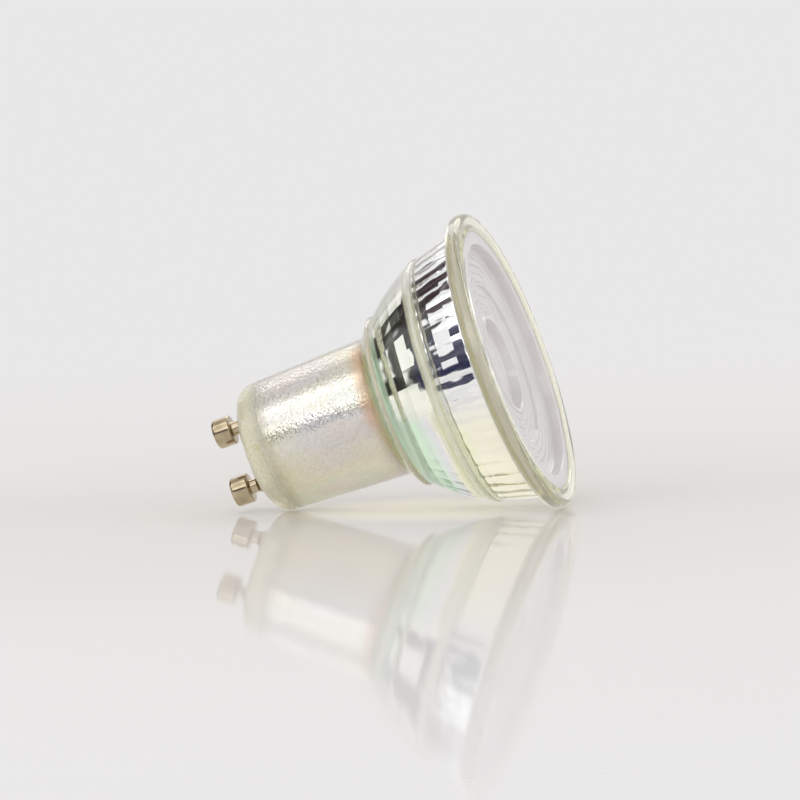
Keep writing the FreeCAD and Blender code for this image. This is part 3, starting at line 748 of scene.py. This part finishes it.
def film():
    """Milky iridescent film in the hollow of the glass: pearly on the neck, with mirror tiles on the bowl."""
    shader = Shader("iridescent_film")
    height = shader.height()
    on_band = shader.fall(height, *FILM_BAND_EDGE)
    on_ring = shader.bell(height, *FILM_RING)
    on_bowl = shader.bell(height, *FILM_BOWL)
    on_root = shader.bell(height, *FILM_ROOT)
    on_neck = shader.spread(height, *FILM_NECK_EDGE)
    at_top = shader.side(*TOP_SIDE)
    band_mirror = shader.times(shader.side(*BAND_MIRROR_SIDE), on_band)
    bowl_mirror = shader.times(shader.side(*BOWL_MIRROR_SIDE), on_bowl)
    flush = shader.times(shader.side(*FLUSH_SIDE), on_root)
    drift = shader.minus(shader.noise(60.0, detail=2.0, roughness=0.5), 0.5)
    place = shader.plus(height, shader.times(drift, FILM_DRIFT))
    colours = shader.ramp(shader.math("DIVIDE", place, REAR_Z), FILM_COLOURS)
    for mask, share, tint in (
        (at_top, TOP_SHARE, FILM_TOP),
        (band_mirror, BAND_MIRROR_SHARE, BAND_MIRROR),
        (bowl_mirror, BOWL_MIRROR_SHARE, BOWL_MIRROR),
        (flush, FLUSH_SHARE, NECK_FLUSH),
    ):
        colours = shader.mix(shader.times(mask, share), colours, tint)
    grain = shader.noise(2500.0, detail=1.0, roughness=0.5)
    rainbow = shader.noise(110.0, detail=1.0, roughness=0.5, stretch=(1.0, 1.0, 0.35))
    pearl = shader.tinted(colours, shader.ramp(grain, FILM_SPECKS))
    pearl = shader.tinted(pearl, shader.ramp(rainbow, FILM_SHEEN))
    # Painted shade: the film's colour is darker on the neck's lower side
    pearl = shader.mix(shader.side(*SHADE_SIDE), pearl, shader.tinted(pearl, NECK_SHADE))
    shader.feed("Base Color", shader.mix(on_neck, colours, pearl))
    gloss = shader.ramp(shader.math("DIVIDE", height, REAR_Z), FILM_GLOSS)
    neck_top = shader.times(shader.side(*NECK_TOP_SIDE), on_neck)
    matt = shader.larger(shader.times(at_top, on_bowl), shader.times(neck_top, NECK_TOP_MATT))
    gloss = shader.times(gloss, shader.spread(matt, 0.0, 1.0, 1.0, MATT_GLOSS))
    mirror = shader.plus(band_mirror, bowl_mirror)
    shader.feed("Metallic", shader.larger(gloss, shader.times(mirror, MIRROR_GLOSS)))
    rough = shader.plus(FILM_ROUGH, shader.times(on_neck, NECK_ROUGH))
    shader.feed("Roughness", shader.plus(rough, shader.times(on_ring, RING_ROUGH)))
    relief = shader.times(grain, shader.plus(BOWL_GRAIN, on_neck))
    shader.bump(relief, strength=0.8, distance=0.000043)
    return shader.material


# Radii between which the lens clears, and the share of its clearness at the centre
LENS_CLOUD = (5.0, 9.5)
CENTRE_CLEARNESS = 0.4


def lens_plastic(name, rough, clear, dark, light):
    """Moulded lens: clear in front, frosted behind, with a lavender haze."""
    shader = Shader(name)
    shader.set(Roughness=rough, IOR=1.49)
    radius = shader.length(shader.dot((1.0 / MM, 0.0, 0.0)), shader.dot((0.0, 1.0 / MM, 0.0)))
    shader.feed("Transmission Weight", shader.spread(radius, *LENS_CLOUD, clear * CENTRE_CLEARNESS, clear))
    haze = shader.noise(160.0, detail=2.0, roughness=0.5)
    shader.feed("Base Color", shader.ramp(haze, [(0.3, dark), (0.7, light)]))
    shader.bump(shader.noise(300.0, detail=2.0), strength=0.1, distance=0.00004)
    return shader.material


NICKEL_STAIN = [(0.3, (0.36, 0.29, 0.185)), (0.7, (0.52, 0.43, 0.30))]


def nickel():
    """Polished nickel over brass, with fine turning marks round the pin."""
    shader = Shader("polished_nickel")
    marks = shader.noise(1.0, stretch=(300.0, 300.0, 7000.0))
    shader.feed("Base Color", shader.ramp(shader.noise(450.0), NICKEL_STAIN))
    shader.feed("Roughness", shader.spread(marks, 0.2, 0.8, 0.07, 0.16))
    shader.set(Metallic=1.0)
    shader.bump(marks, strength=0.12, distance=0.00002)
    return shader.material


def glass_outside():
    """Outline from the lens opening over the rim and the neck to the closed end."""
    opening = (OPENING_RADIUS, 0.0)
    front_edge = (RIM_RADIUS, 0.0)
    rear_edge = (RIM_RADIUS, RIM_HEIGHT)
    points = line((OPENING_RADIUS, SEAT_Z), (OPENING_RADIUS, OPENING_ROUND), 3)
    points += fillet((OPENING_RADIUS, SEAT_Z), opening, front_edge, OPENING_ROUND, 4)
    points += line((FRONT_FLAT, 0.0), (RIM_RADIUS - RIM_ROUND, 0.0), 4)
    points += fillet(opening, front_edge, rear_edge, RIM_ROUND, 10)
    points += fillet(front_edge, rear_edge, BAND_FRONT, RIM_ROUND, 10)
    points += fillet(rear_edge, BAND_FRONT, BAND_REAR, BAND_ROUND, 5)
    points += line(BAND_STRAIGHT, BAND_REAR, 20)
    points += bead(BAND_REAR[0], BOWL_FRONT[0], BAND_REAR[1], FRONT_BEAD_WIDE)
    points += bulged(BOWL_FRONT, BOWL_REAR, BOWL_ARC, 30)[1:]
    points += bead(BOWL_REAR[0], BOWL_REAR[0], REAR_BEAD_Z, REAR_BEAD_WIDE)
    points += fillet(SHOULDER, NECK_FRONT, NECK_REAR, NECK_ROUND, 6)
    points += line(*NECK_STRAIGHT, 24)
    points += fillet(NECK_FRONT, NECK_REAR, (0.0, REAR_Z), REAR_ROUND, 12)
    return points


def glass_hollow():
    """Outline from the closed end along the neck to the first tier of the reflector."""
    step = (STEP_RADIUS, STEP_Z)
    points = fillet((0.0, HOLLOW_Z), HOLLOW_REAR, HOLLOW_FRONT, HOLLOW_ROUND, 6)
    points += line(HOLLOW_STRAIGHT, HOLLOW_FRONT, 18) + line(HOLLOW_FRONT, step, 3)
    points += line(step, (STEP_RADIUS, STEP_WALL_Z), 3)
    points += fillet(step, (STEP_RADIUS, MOUTH_Z), LOWER_REAR, MOUTH_ROUND, 4)
    return points


def lower_tier():
    """Faceted bowl of the reflector."""
    return tier_rings(
        limits=tier_rows(LOWER_REAR, TIER_MEETING, LOWER_ROWS, bulge=0.55),
        shift=PITCH / 2,
        pillow=0.028,
        steps=LOWER_STEPS,
        plain_ends=((19.0, 0.0, 0.3), (11.35, 0.25, 0.35)),
        uneven=0.010,
    )


def upper_tier():
    """Fluted band of the reflector, up to the seat of the lens."""
    rings = tier_rings(
        limits=tier_rows(TIER_MEETING, UPPER_FRONT, UPPER_ROWS, bulge=0.12),
        shift=0.0,
        pillow=0.15,
        steps=UPPER_STEPS,
        plain_ends=((10.7, 0.0, 0.8), (2.55, 0.3, 0.35)),
        uneven=0.022,
    )
    return rings + [(SEAT_RADIUS * math.cos(PITCH / 2), SEAT_Z)]


def glass_shell():
    """Closed shell of clear glass with the film on the faces of its hollow."""
    outside = glass_outside()
    hollow = glass_hollow()
    lower = lower_tier()
    upper = upper_tier()
    rings = outside + hollow + lower + upper
    first_coated = len(outside)
    coated = len(rings) - first_coated - 1
    slots = [CLEAR_SLOT] * first_coated + [FILM_SLOT] * coated + [CLEAR_SLOT]
    mesh = ring_mesh("glass_shell", rings, TURN_STEPS, slots, gaps={first_coated - 1})
    close_rear(mesh, first_coated - 1)
    smooth(mesh, GLASS_SHARP)
    crease_tiles(mesh, first_coated + len(hollow), lower, upper)
    return mesh


def close_rear(mesh, last_outside):
    """Closed end of the shell with its two pin holes, between the rear face and the end of the hollow."""
    bm = opened(mesh)
    loops = {}
    ends = ((last_outside, CLEAR_SLOT, REAR_Z), (last_outside + 1, FILM_SLOT, HOLLOW_Z))
    for ring, slot, height in ends:
        verts = ring_verts(bm, ring, TURN_STEPS)
        edges = [bm.edges.get((verts[j], verts[(j + 1) % TURN_STEPS])) for j in range(TURN_STEPS)]
        for side in (1, -1):
            hole = []
            for k in range(HOLE_STEPS):
                turn = 2 * math.pi * k / HOLE_STEPS
                x = side * PIN_X + HOLE_RADIUS * math.cos(turn)
                hole.append(bm.verts.new((x * MM, HOLE_RADIUS * math.sin(turn) * MM, height * MM)))
            loops[slot, side] = hole
            edges += [bm.edges.new((hole[k], hole[(k + 1) % HOLE_STEPS])) for k in range(HOLE_STEPS)]
        made = bmesh.ops.triangle_fill(bm, use_beauty=True, use_dissolve=False, edges=edges)
        for face in made["geom"]:
            if isinstance(face, bmesh.types.BMFace):
                face.material_index = slot
    for side in (1, -1):
        rear = loops[CLEAR_SLOT, side]
        front = loops[FILM_SLOT, side]
        for k in range(HOLE_STEPS):
            n = (k + 1) % HOLE_STEPS
            bm.faces.new((rear[k], rear[n], front[n], front[k]))
    written_back(bm, mesh)


def crease_tiles(mesh, first_ring, lower, upper):
    """Sharp edges between the tiles of the reflector: along the flutes and between the rows."""
    attribute = mesh.attributes.get("sharp_edge") or mesh.attributes.new("sharp_edge", "BOOLEAN", "EDGE")
    sharp = np.zeros(len(mesh.edges), bool)
    attribute.data.foreach_get("value", sharp)
    ends = np.zeros(len(mesh.edges) * 2, np.int64)
    mesh.edges.foreach_get("vertices", ends)
    ends = ends.reshape(-1, 2)
    ring = ends // TURN_STEPS - first_ring
    step = ends % TURN_STEPS
    in_lower = (ring >= 0).all(1) & (ring <= len(lower)).all(1)
    in_upper = (ring >= len(lower)).all(1) & (ring < len(lower) + len(upper)).all(1)
    along = step[:, 0] == step[:, 1]
    level = ring[:, 0] == ring[:, 1]
    ring_heights = np.array([height for radii, height in lower + upper])
    heights = ring_heights[np.clip(ring, 0, len(ring_heights) - 1)]
    fluted_lower = in_lower & (heights.min(1) > LOWER_CREASES_FROM)
    fluted_upper = in_upper & (heights.min(1) > UPPER_CREASES[0]) & (heights.max(1) < UPPER_CREASES[1])
    sharp |= fluted_lower & along & (step[:, 0] % FLUTE_STEPS == FLUTE_STEPS // 2)
    sharp |= fluted_upper & along & (step[:, 0] % FLUTE_STEPS == 0)
    sharp |= fluted_lower & level & (ring[:, 0] % LOWER_STEPS == 0)
    sharp |= fluted_upper & level & ((ring[:, 0] - len(lower)) % UPPER_STEPS == 0)
    attribute.data.foreach_set("value", sharp)
    mesh.update()


def lens_front():
    """Outline from the axis over the well and the ringed steps to the rear edge of the flange."""
    well_flat = (7.2, WELL_Z)
    well_edge = (7.4, WELL_Z)
    well_wall_high = (7.5, 3.5)
    well_wall_low = (7.6, 2.7)
    well_foot = (7.6, GROOVE_Z)
    groove_end = (8.35, GROOVE_Z)
    groove_wall = (8.45, 2.75)
    inner_end = (13.2, INNER_RINGS_Z)
    outer_start = (13.35, OUTER_RINGS_Z)
    outer_end = (19.55, OUTER_RINGS_Z)
    flange_wall = (19.6, 1.0)
    flange_start = (19.65, FLANGE_FRONT)
    front_edge = (FLANGE_RADIUS, FLANGE_FRONT)
    rear_edge = (FLANGE_RADIUS, FLANGE_REAR)
    points = line((AXIS_GAP, WELL_Z), well_flat, 10)
    points += fillet(well_flat, well_edge, well_wall_low, WELL_ROUND, 5)
    points += fillet(well_wall_high, well_foot, groove_end, WELL_ROUND, 6)
    points += fillet(well_foot, groove_end, groove_wall, RING_STEP_ROUND, 4)
    points += waves(*INNER_RINGS, INNER_RINGS_Z, INNER_RING_COUNT, RING_DEPTH)
    points += fillet((INNER_RINGS[1], INNER_RINGS_Z), inner_end, outer_start, RING_STEP_ROUND, 4)
    points += fillet(inner_end, outer_start, outer_end, RING_STEP_ROUND, 4)
    points += waves(*OUTER_RINGS, OUTER_RINGS_Z, OUTER_RING_COUNT, RING_DEPTH)
    points += fillet((OUTER_RINGS[1], OUTER_RINGS_Z), outer_end, flange_start, WALL_ROUND, 5)
    points += fillet(flange_wall, flange_start, front_edge, WALL_ROUND, 5)
    points += fillet(flange_start, front_edge, rear_edge, FLANGE_ROUND, 5)
    points += fillet(front_edge, rear_edge, (SKIRT_RADIUS, FLANGE_REAR), FLANGE_ROUND, 5)
    return points


def lens_rear():
    """Outline from the skirt behind the flange over the collecting cone to the pocket for the light."""
    skirt_root = (SKIRT_RADIUS, FLANGE_REAR)
    skirt_flat = (19.0, SKIRT_Z)
    cone_wall = (5.6, 16.4)
    pocket_wall = (POCKET_RADIUS, 16.4)
    pocket_edge = (POCKET_RADIUS, CONE_REAR[1])
    pocket_foot = (POCKET_RADIUS, POCKET_Z)
    axis = (AXIS_GAP, POCKET_Z)
    points = [skirt_root]
    points += fillet(skirt_root, (SKIRT_RADIUS, SKIRT_Z), CONE_FRONT, SKIRT_ROUND, 5)
    points += line(skirt_flat, CONE_FRONT, 8)
    points += bulged(CONE_FRONT, CONE_REAR, CONE_ARC, 24)
    points += fillet(cone_wall, CONE_REAR, pocket_edge, CONE_ROUND, 4)
    points += fillet(CONE_REAR, pocket_edge, pocket_foot, CONE_ROUND, 4)
    points += line(pocket_wall, pocket_foot, 6) + line(pocket_foot, axis, 6) + [axis]
    return points


def ringed_lens():
    """Lens with a clear front and a frosted back."""
    front = lens_front()
    rear = lens_rear()
    slots = [CLEAR_SLOT] * len(front) + [FROSTED_SLOT] * len(rear)
    return lathe("ringed_lens", front + rear, LENS_STEPS, LENS_SHARP, slots)


def pin_profile():
    """Turned contact pin: collar inside the glass, swelling shank and the thick head with its dimple."""
    thin = SHANK_RADIUS - SHANK_TAPER
    head_edge = (HEAD_RADIUS, HEAD_Z)
    top_edge = (HEAD_RADIUS, PIN_TOP)
    dimple_edge = (DIMPLE_RADIUS, PIN_TOP)
    dimple_wall = (0.7, 51.72)
    points = line((AXIS_GAP, COLLAR_FRONT), (COLLAR_RADIUS, COLLAR_FRONT), 3)
    points += [(COLLAR_RADIUS, COLLAR_FRONT), (COLLAR_RADIUS, COLLAR_REAR), (SHANK_RADIUS, COLLAR_REAR)]
    points += line((SHANK_RADIUS, HOLLOW_Z), (SHANK_RADIUS, SWELLING_Z), 5)
    for step in range(SWELLING_STEPS + 1):
        share = step / SWELLING_STEPS
        radius = SHANK_RADIUS - SHANK_TAPER * share + SWELLING * math.sin(math.pi * share)
        points.append((radius, SWELLING_Z + SWELLING_LENGTH * share))
    points += fillet((thin, REAR_Z), (thin, HEAD_Z), head_edge, HEAD_ROOT_ROUND, 5)
    points += fillet((thin, HEAD_Z), head_edge, top_edge, HEAD_REAR_ROUND, 6)
    points += line((HEAD_RADIUS, HEAD_STRAIGHT[0]), (HEAD_RADIUS, HEAD_STRAIGHT[1]), 5)
    points += fillet(head_edge, top_edge, dimple_edge, HEAD_TOP_ROUND, 8)
    points += line((HEAD_FLAT, PIN_TOP), dimple_edge, 4)
    points += fillet(top_edge, dimple_edge, dimple_wall, DIMPLE_ROUND, 3)
    points += [(0.6, 51.7), (0.3, DIMPLE_Z), (AXIS_GAP, DIMPLE_Z)]
    return points


def piece(name, mesh, materials, node):
    """Visible piece that stands for one CAD node."""
    obj = add_object(name, mesh)
    for material in materials:
        mesh.materials.append(material)
    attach(obj, "root")
    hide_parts(node)


# Dark stand in the reflections: its soft edges to the left, at the foot, at the top, in front and behind
STAND_LEFT = (0.0, 0.1)
STAND_FOOT = (-0.36, -0.30)
STAND_TOP = (0.70, 0.80)
STAND_FRONT = (0.66, 0.76)
STAND_BACK = (-1.59, -1.51)
BACK_SLOPE = 1.8

# Darker patches beside the stand, as (centre, radii, share), and lit slots, as (centre, radii, edge, tilt)
DARK_PATCHES = (((-0.20, 0.835), (0.26, 0.05), 0.2), ((0.86, 0.15), (0.08, 0.16), 1.0))
DARK_PATCH_EDGE = 0.4
LIT_SLOTS = (
    ((-0.15, 0.07), (0.33, 0.19), 0.2, -22.0),
    ((0.19, 0.56), (0.33, 0.18), 0.2, -47.0),
    ((0.42, 0.15), (0.20, 0.075), 0.4, -55.0),
)

# Colours of the surroundings: seen by the camera, by plain light and by gloss, and in the dark stand
BACKDROP = (0.815, 0.805, 0.808)
ROOM_LIGHT = (0.60, 0.585, 0.57)
ROOM_BRIGHT = (1.0, 0.995, 0.99)
ROOM_FRONT = (0.66, 0.645, 0.62)
STAND_BLACK = (0.004, 0.0035, 0.003)
STAND_BLUE = (0.004, 0.006, 0.05)
STAND_MAROON = (0.030, 0.008, 0.013)

# Soft edges between those colours, towards the camera or upwards
ROOM_FRONT_EDGE = (0.80, 0.95)
ROOM_BACK_EDGE = (-0.95, -0.60)
STAND_BLUE_EDGE = (0.0, 0.3)
STAND_MAROON_EDGE = (0.42, 0.62)


def stand_share(studio, to_camera, upward):
    """1 where the dark stand is, and 0 beside it and in its lit slots."""
    on_left = studio.spread(studio.dot(IMAGE_LEFT), *STAND_LEFT)
    backdrop_line = studio.minus(studio.times(to_camera, BACK_SLOPE), upward)
    upright = studio.times(studio.spread(upward, *STAND_FOOT), studio.fall(upward, *STAND_TOP))
    deep = studio.times(studio.fall(to_camera, *STAND_FRONT), studio.spread(backdrop_line, *STAND_BACK))
    dark = studio.times(upright, deep)
    for centre, radii, share in DARK_PATCHES:
        patch = studio.ellipse(to_camera, upward, centre, radii, DARK_PATCH_EDGE)
        dark = studio.larger(dark, studio.times(patch, share))
    lit = 0.0
    for centre, radii, edge, tilt in LIT_SLOTS:
        lit = studio.larger(lit, studio.ellipse(to_camera, upward, centre, radii, edge, tilt))
    return studio.times(studio.times(dark, studio.minus(1.0, lit)), on_left)


def studio_world():
    """Plain pale for the camera; gloss and glass also see a dark stand with lit slots on the left."""
    world = bpy.data.worlds.new("studio")
    bpy.context.scene.world = world
    world.use_nodes = True
    studio = Nodes(world.node_tree, "Generated")
    to_camera = studio.dot(TO_CAMERA)
    upward = studio.dot(IMAGE_UP)
    camera_ray = studio.add("ShaderNodeLightPath").outputs["Is Camera Ray"]
    plain = studio.mix(camera_ray, ROOM_LIGHT, BACKDROP)
    pale = studio.mix(studio.spread(to_camera, *ROOM_FRONT_EDGE), ROOM_BRIGHT, ROOM_FRONT)
    pale = studio.mix(studio.fall(to_camera, *ROOM_BACK_EDGE), pale, BACKDROP)
    deep = studio.mix(studio.spread(to_camera, *STAND_BLUE_EDGE), STAND_BLACK, STAND_BLUE)
    deep = studio.mix(studio.spread(upward, *STAND_MAROON_EDGE), deep, STAND_MAROON)
    surround = studio.mix(stand_share(studio, to_camera, upward), pale, deep)
    background = studio.add("ShaderNodeBackground")
    studio.link(studio.mix(studio.in_reflections(), plain, surround), background.inputs["Color"])
    studio.link(background.outputs["Background"], studio.add("ShaderNodeOutputWorld").inputs["Surface"])


# Table: its grain, the painted shadow round the lamp, the painted pool of yellowish light and the glowing
# patch that stand for light through the glass, and what reflections see of it
TABLE_GRAINS = [(0.3, (0.845, 0.837, 0.838)), (0.7, (0.86, 0.852, 0.853))]
TABLE_PAINTED_SHADOW = (0.80, 0.77, 0.745)
TABLE_PAINTED_LIGHT_POOL = (0.93, 0.88, 0.72)
TABLE_PAINTED_GLOW = (0.22, 0.20, 0.15)
TABLE_SHADES = [(0.36, (0.84, 0.84, 0.83)), (0.58, (1.0, 0.99, 0.95))]
GLOW_CENTRE = (0.007, 0.0)
TABLE_GLOSS = 0.62
TABLE_REFLECTED = 0.92

# Distances in metres over which the table fades out, and where it ends on the left in reflections
TABLE_FADE = (0.12, 0.5)
TABLE_LEFT = (0.085, 0.105)


def floor_material():
    """Satin pale table near the lamp that fades into the backdrop, with a painted shadow round the lamp, and
    painted yellowish light and a glowing patch where light comes through glass.
    """
    shader = Shader("pale_table")
    across = shader.dot((1.0, 0.0, 0.0))
    along = shader.dot((0.0, 1.0, 0.0))
    pale = shader.ramp(shader.noise(6.0, detail=2.0), TABLE_GRAINS)
    # Painted shadow: the table's colour is darker round the lamp
    painted_shadow = shader.ellipse(across, along, (0.0, 0.0), (0.085, 0.13), 0.95)
    # Painted light: a yellowish pool in the table's colour under the lamp, for light through the glass
    painted_light_pool = shader.ellipse(across, along, GLOW_CENTRE, (0.020, 0.016), 0.9)
    # Painted light: the table glows in a patch under the lamp, for light through the glass
    painted_glow_patch = shader.ellipse(across, along, GLOW_CENTRE, (0.020, 0.020), 0.95)
    base = shader.mix(painted_light_pool, shader.mix(painted_shadow, pale, TABLE_PAINTED_SHADOW), TABLE_PAINTED_LIGHT_POOL)
    shader.feed("Base Color", base)
    shader.feed("Emission Color", shader.mix(painted_glow_patch, (0.0, 0.0, 0.0), TABLE_PAINTED_GLOW))
    shader.set(Roughness=0.045, Emission_Strength=1.0)
    matt = shader.add("ShaderNodeBsdfDiffuse")
    shader.link(base, matt.inputs["Color"])
    satin = shader.blended(TABLE_GLOSS, matt.outputs["BSDF"], shader.main.outputs["BSDF"])
    reflected = shader.in_reflections()
    lit = shader.add("ShaderNodeEmission")
    shades = shader.noise(38.0, detail=1.0, roughness=0.5)
    shader.link(shader.ramp(shades, TABLE_SHADES), lit.inputs["Color"])
    seen = shader.blended(shader.times(reflected, TABLE_REFLECTED), satin, lit.outputs["Emission"])
    geometry = shader.add("ShaderNodeNewGeometry")
    leftward = shader.dot(IMAGE_LEFT, geometry.outputs["Position"])
    away = shader.add("ShaderNodeVectorMath", operation="LENGTH")
    shader.link(shader.place, away.inputs[0])
    edge = shader.times(shader.spread(leftward, *TABLE_LEFT), reflected)
    fade = shader.larger(shader.spread(away.outputs["Value"], *TABLE_FADE), edge)
    unseen = shader.larger(fade, geometry.outputs["Backfacing"])
    clear = shader.add("ShaderNodeBsdfTransparent")
    both = shader.blended(unseen, seen, clear.outputs["BSDF"])
    shader.link(both, shader.output.inputs["Surface"])
    return shader.material


# Lights: name, direction in the camera's frame, distance, width, height, watts, colour
SOFTBOXES = (
    ("key_left", (-0.585, 0.515, 0.627), 0.8, 0.45, 0.9, 1.8, (0.97, 0.985, 1.0)),
    ("fill_right", (0.88, 0.32, 0.36), 1.1, 0.5, 0.5, 2.4, (0.97, 0.985, 1.0)),
    ("back_top", (0.05, 0.70, -0.71), 1.1, 0.9, 0.5, 2.7, (1.0, 0.995, 0.98)),
    ("front_fill", (0.10, 0.30, 0.95), 1.6, 1.3, 0.9, 2.15, (1.0, 0.99, 0.98)),
)


def softbox(name, towards, distance, wide, tall, watts, colour):
    """Area lamp that faces the middle of the part from a direction in the camera's frame."""
    light = bpy.data.lights.new(name, "AREA")
    light.shape = "RECTANGLE"
    light.size = wide
    light.size_y = tall
    light.energy = watts
    light.color = colour
    obj = add_object(name, light)
    direction = from_camera(*towards)
    obj.location = MIDDLE + direction * distance
    across = TO_CAMERA.cross(direction).normalized()
    obj.rotation_euler = columns(across, direction.cross(across), direction).to_euler()


# Pieces of the lamp
piece("glass_shell", glass_shell(), (clear_glass(), film()), "glass_body")
lens_clear = lens_plastic("lens_clear", 0.04, 0.28, (0.93, 0.90, 0.91), (0.98, 0.96, 0.97))
lens_frosted = lens_plastic("lens_frosted", 0.35, 0.10, (0.95, 0.92, 0.93), (0.99, 0.98, 0.98))
piece("ringed_lens", ringed_lens(), (lens_clear, lens_frosted), "front_lens")
metal = nickel()
for letter, side in (("a", 1), ("b", -1)):
    pin_mesh = lathe("pin_" + letter, pin_profile(), PIN_STEPS, PIN_SHARP)
    pin_mesh.transform(Matrix.Translation((side * PIN_X * MM, 0, 0)))
    piece("pin_" + letter, pin_mesh, (metal,), "contact_pin_" + letter)

# Parts inside, which keep their solids: nodes, then the look as name, dark, light, grain, roughness, metal
# and relief
INNER_LOOKS = (
    (("lens_adhesive",), ("silicone_bead", (0.62, 0.56, 0.30), (0.78, 0.74, 0.50), 600.0, 0.35)),
    (("led_plate",), ("bare_aluminium", (0.55, 0.55, 0.56), (0.74, 0.74, 0.75), 900.0, 0.32, 1.0)),
    (("led_base",), ("white_ceramic", (0.80, 0.80, 0.78), (0.90, 0.90, 0.88), 1500.0, 0.4)),
    (("led_phosphor",), ("phosphor_gel", (0.80, 0.62, 0.10), (0.92, 0.78, 0.22), 2500.0, 0.3)),
    (("driver_board",), ("glass_epoxy", (0.03, 0.16, 0.07), (0.06, 0.24, 0.11), 1200.0, 0.35)),
    (("input_capacitor",), ("can_sleeve", (0.02, 0.02, 0.05), (0.05, 0.05, 0.09), 700.0, 0.3)),
    (("inductor_core",), ("ferrite", (0.05, 0.05, 0.05), (0.10, 0.10, 0.10), 2500.0, 0.6)),
    (("fuse_resistor",), ("resistor_coat", (0.10, 0.30, 0.34), (0.16, 0.40, 0.44), 1200.0, 0.35)),
    (("output_capacitor",), ("ceramic_tan", (0.45, 0.33, 0.20), (0.60, 0.46, 0.30), 2500.0, 0.35)),
    (
        ("inductor_winding",),
        ("enamelled_copper", (0.52, 0.20, 0.07), (0.72, 0.33, 0.13), 1800.0, 0.28, 1.0, 0.4),
    ),
    (
        ("bridge_rectifier", "driver_chip", "output_diode"),
        ("moulded_black", (0.015, 0.015, 0.016), (0.035, 0.035, 0.037), 3000.0, 0.5),
    ),
    (
        ("sense_resistor_a", "sense_resistor_b"),
        ("chip_black", (0.02, 0.02, 0.025), (0.05, 0.05, 0.055), 3500.0, 0.35),
    ),
    (
        ("link_pin_a", "link_pin_b", "pin_wire_a", "pin_wire_b"),
        ("tinned_wire", (0.60, 0.60, 0.60), (0.78, 0.78, 0.78), 2000.0, 0.25, 1.0),
    ),
)
for names, look in INNER_LOOKS:
    material = grained(*look)
    for name in names:
        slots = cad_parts[name].data.materials
        slots.clear()
        slots.append(material)

# Floor under the rim and the neck's rear rounding, as in the photograph
floor_mesh = bpy.data.meshes.new("table")
floor_corners = [(x * FLOOR_REACH, y * FLOOR_REACH, 0) for x, y in ((-1, -1), (1, -1), (1, 1), (-1, 1))]
floor_mesh.from_pydata(floor_corners, [], [(0, 1, 2, 3)])
floor_mesh.materials.append(floor_material())
floor = add_object("table", floor_mesh)
floor.location = MIDDLE - FLOOR_UP * (MIDDLE.dot(FLOOR_UP) + FLOOR_DROP * MM)
floor_x = Vector((0, 0, 1)).cross(FLOOR_UP).cross(FLOOR_UP).normalized()
floor.rotation_euler = columns(floor_x, FLOOR_UP.cross(floor_x), FLOOR_UP).to_euler()

for lamp in SOFTBOXES:
    softbox(*lamp)

studio_world()

# Camera of the photograph
camera_data = bpy.data.cameras.new("camera")
camera_data.sensor_width = SENSOR_WIDTH
camera_data.lens = FOCAL_PX / IMAGE_PX * SENSOR_WIDTH
camera_data.clip_start = CLIP_START
camera_data.clip_end = CLIP_END
camera = add_object("camera", camera_data)
shift_x = (RIM_CENTRE_PX[0] - IMAGE_PX / 2) / FOCAL_PX * CAMERA_DISTANCE
shift_y = (IMAGE_PX / 2 - RIM_CENTRE_PX[1]) / FOCAL_PX * CAMERA_DISTANCE
rim_from_camera = CAMERA_TO_PART @ Vector((shift_x, shift_y, -CAMERA_DISTANCE))
camera.matrix_world = Matrix.Translation(-rim_from_camera) @ CAMERA_TO_PART.to_4x4()
bpy.context.scene.camera = camera

bpy.context.scene.view_settings.view_transform = "Standard"
bpy.context.scene.cycles.max_bounces = GLASS_BOUNCES
bpy.context.scene.cycles.transmission_bounces = GLASS_BOUNCES
bpy.context.scene.cycles.glossy_bounces = GLOSS_BOUNCES
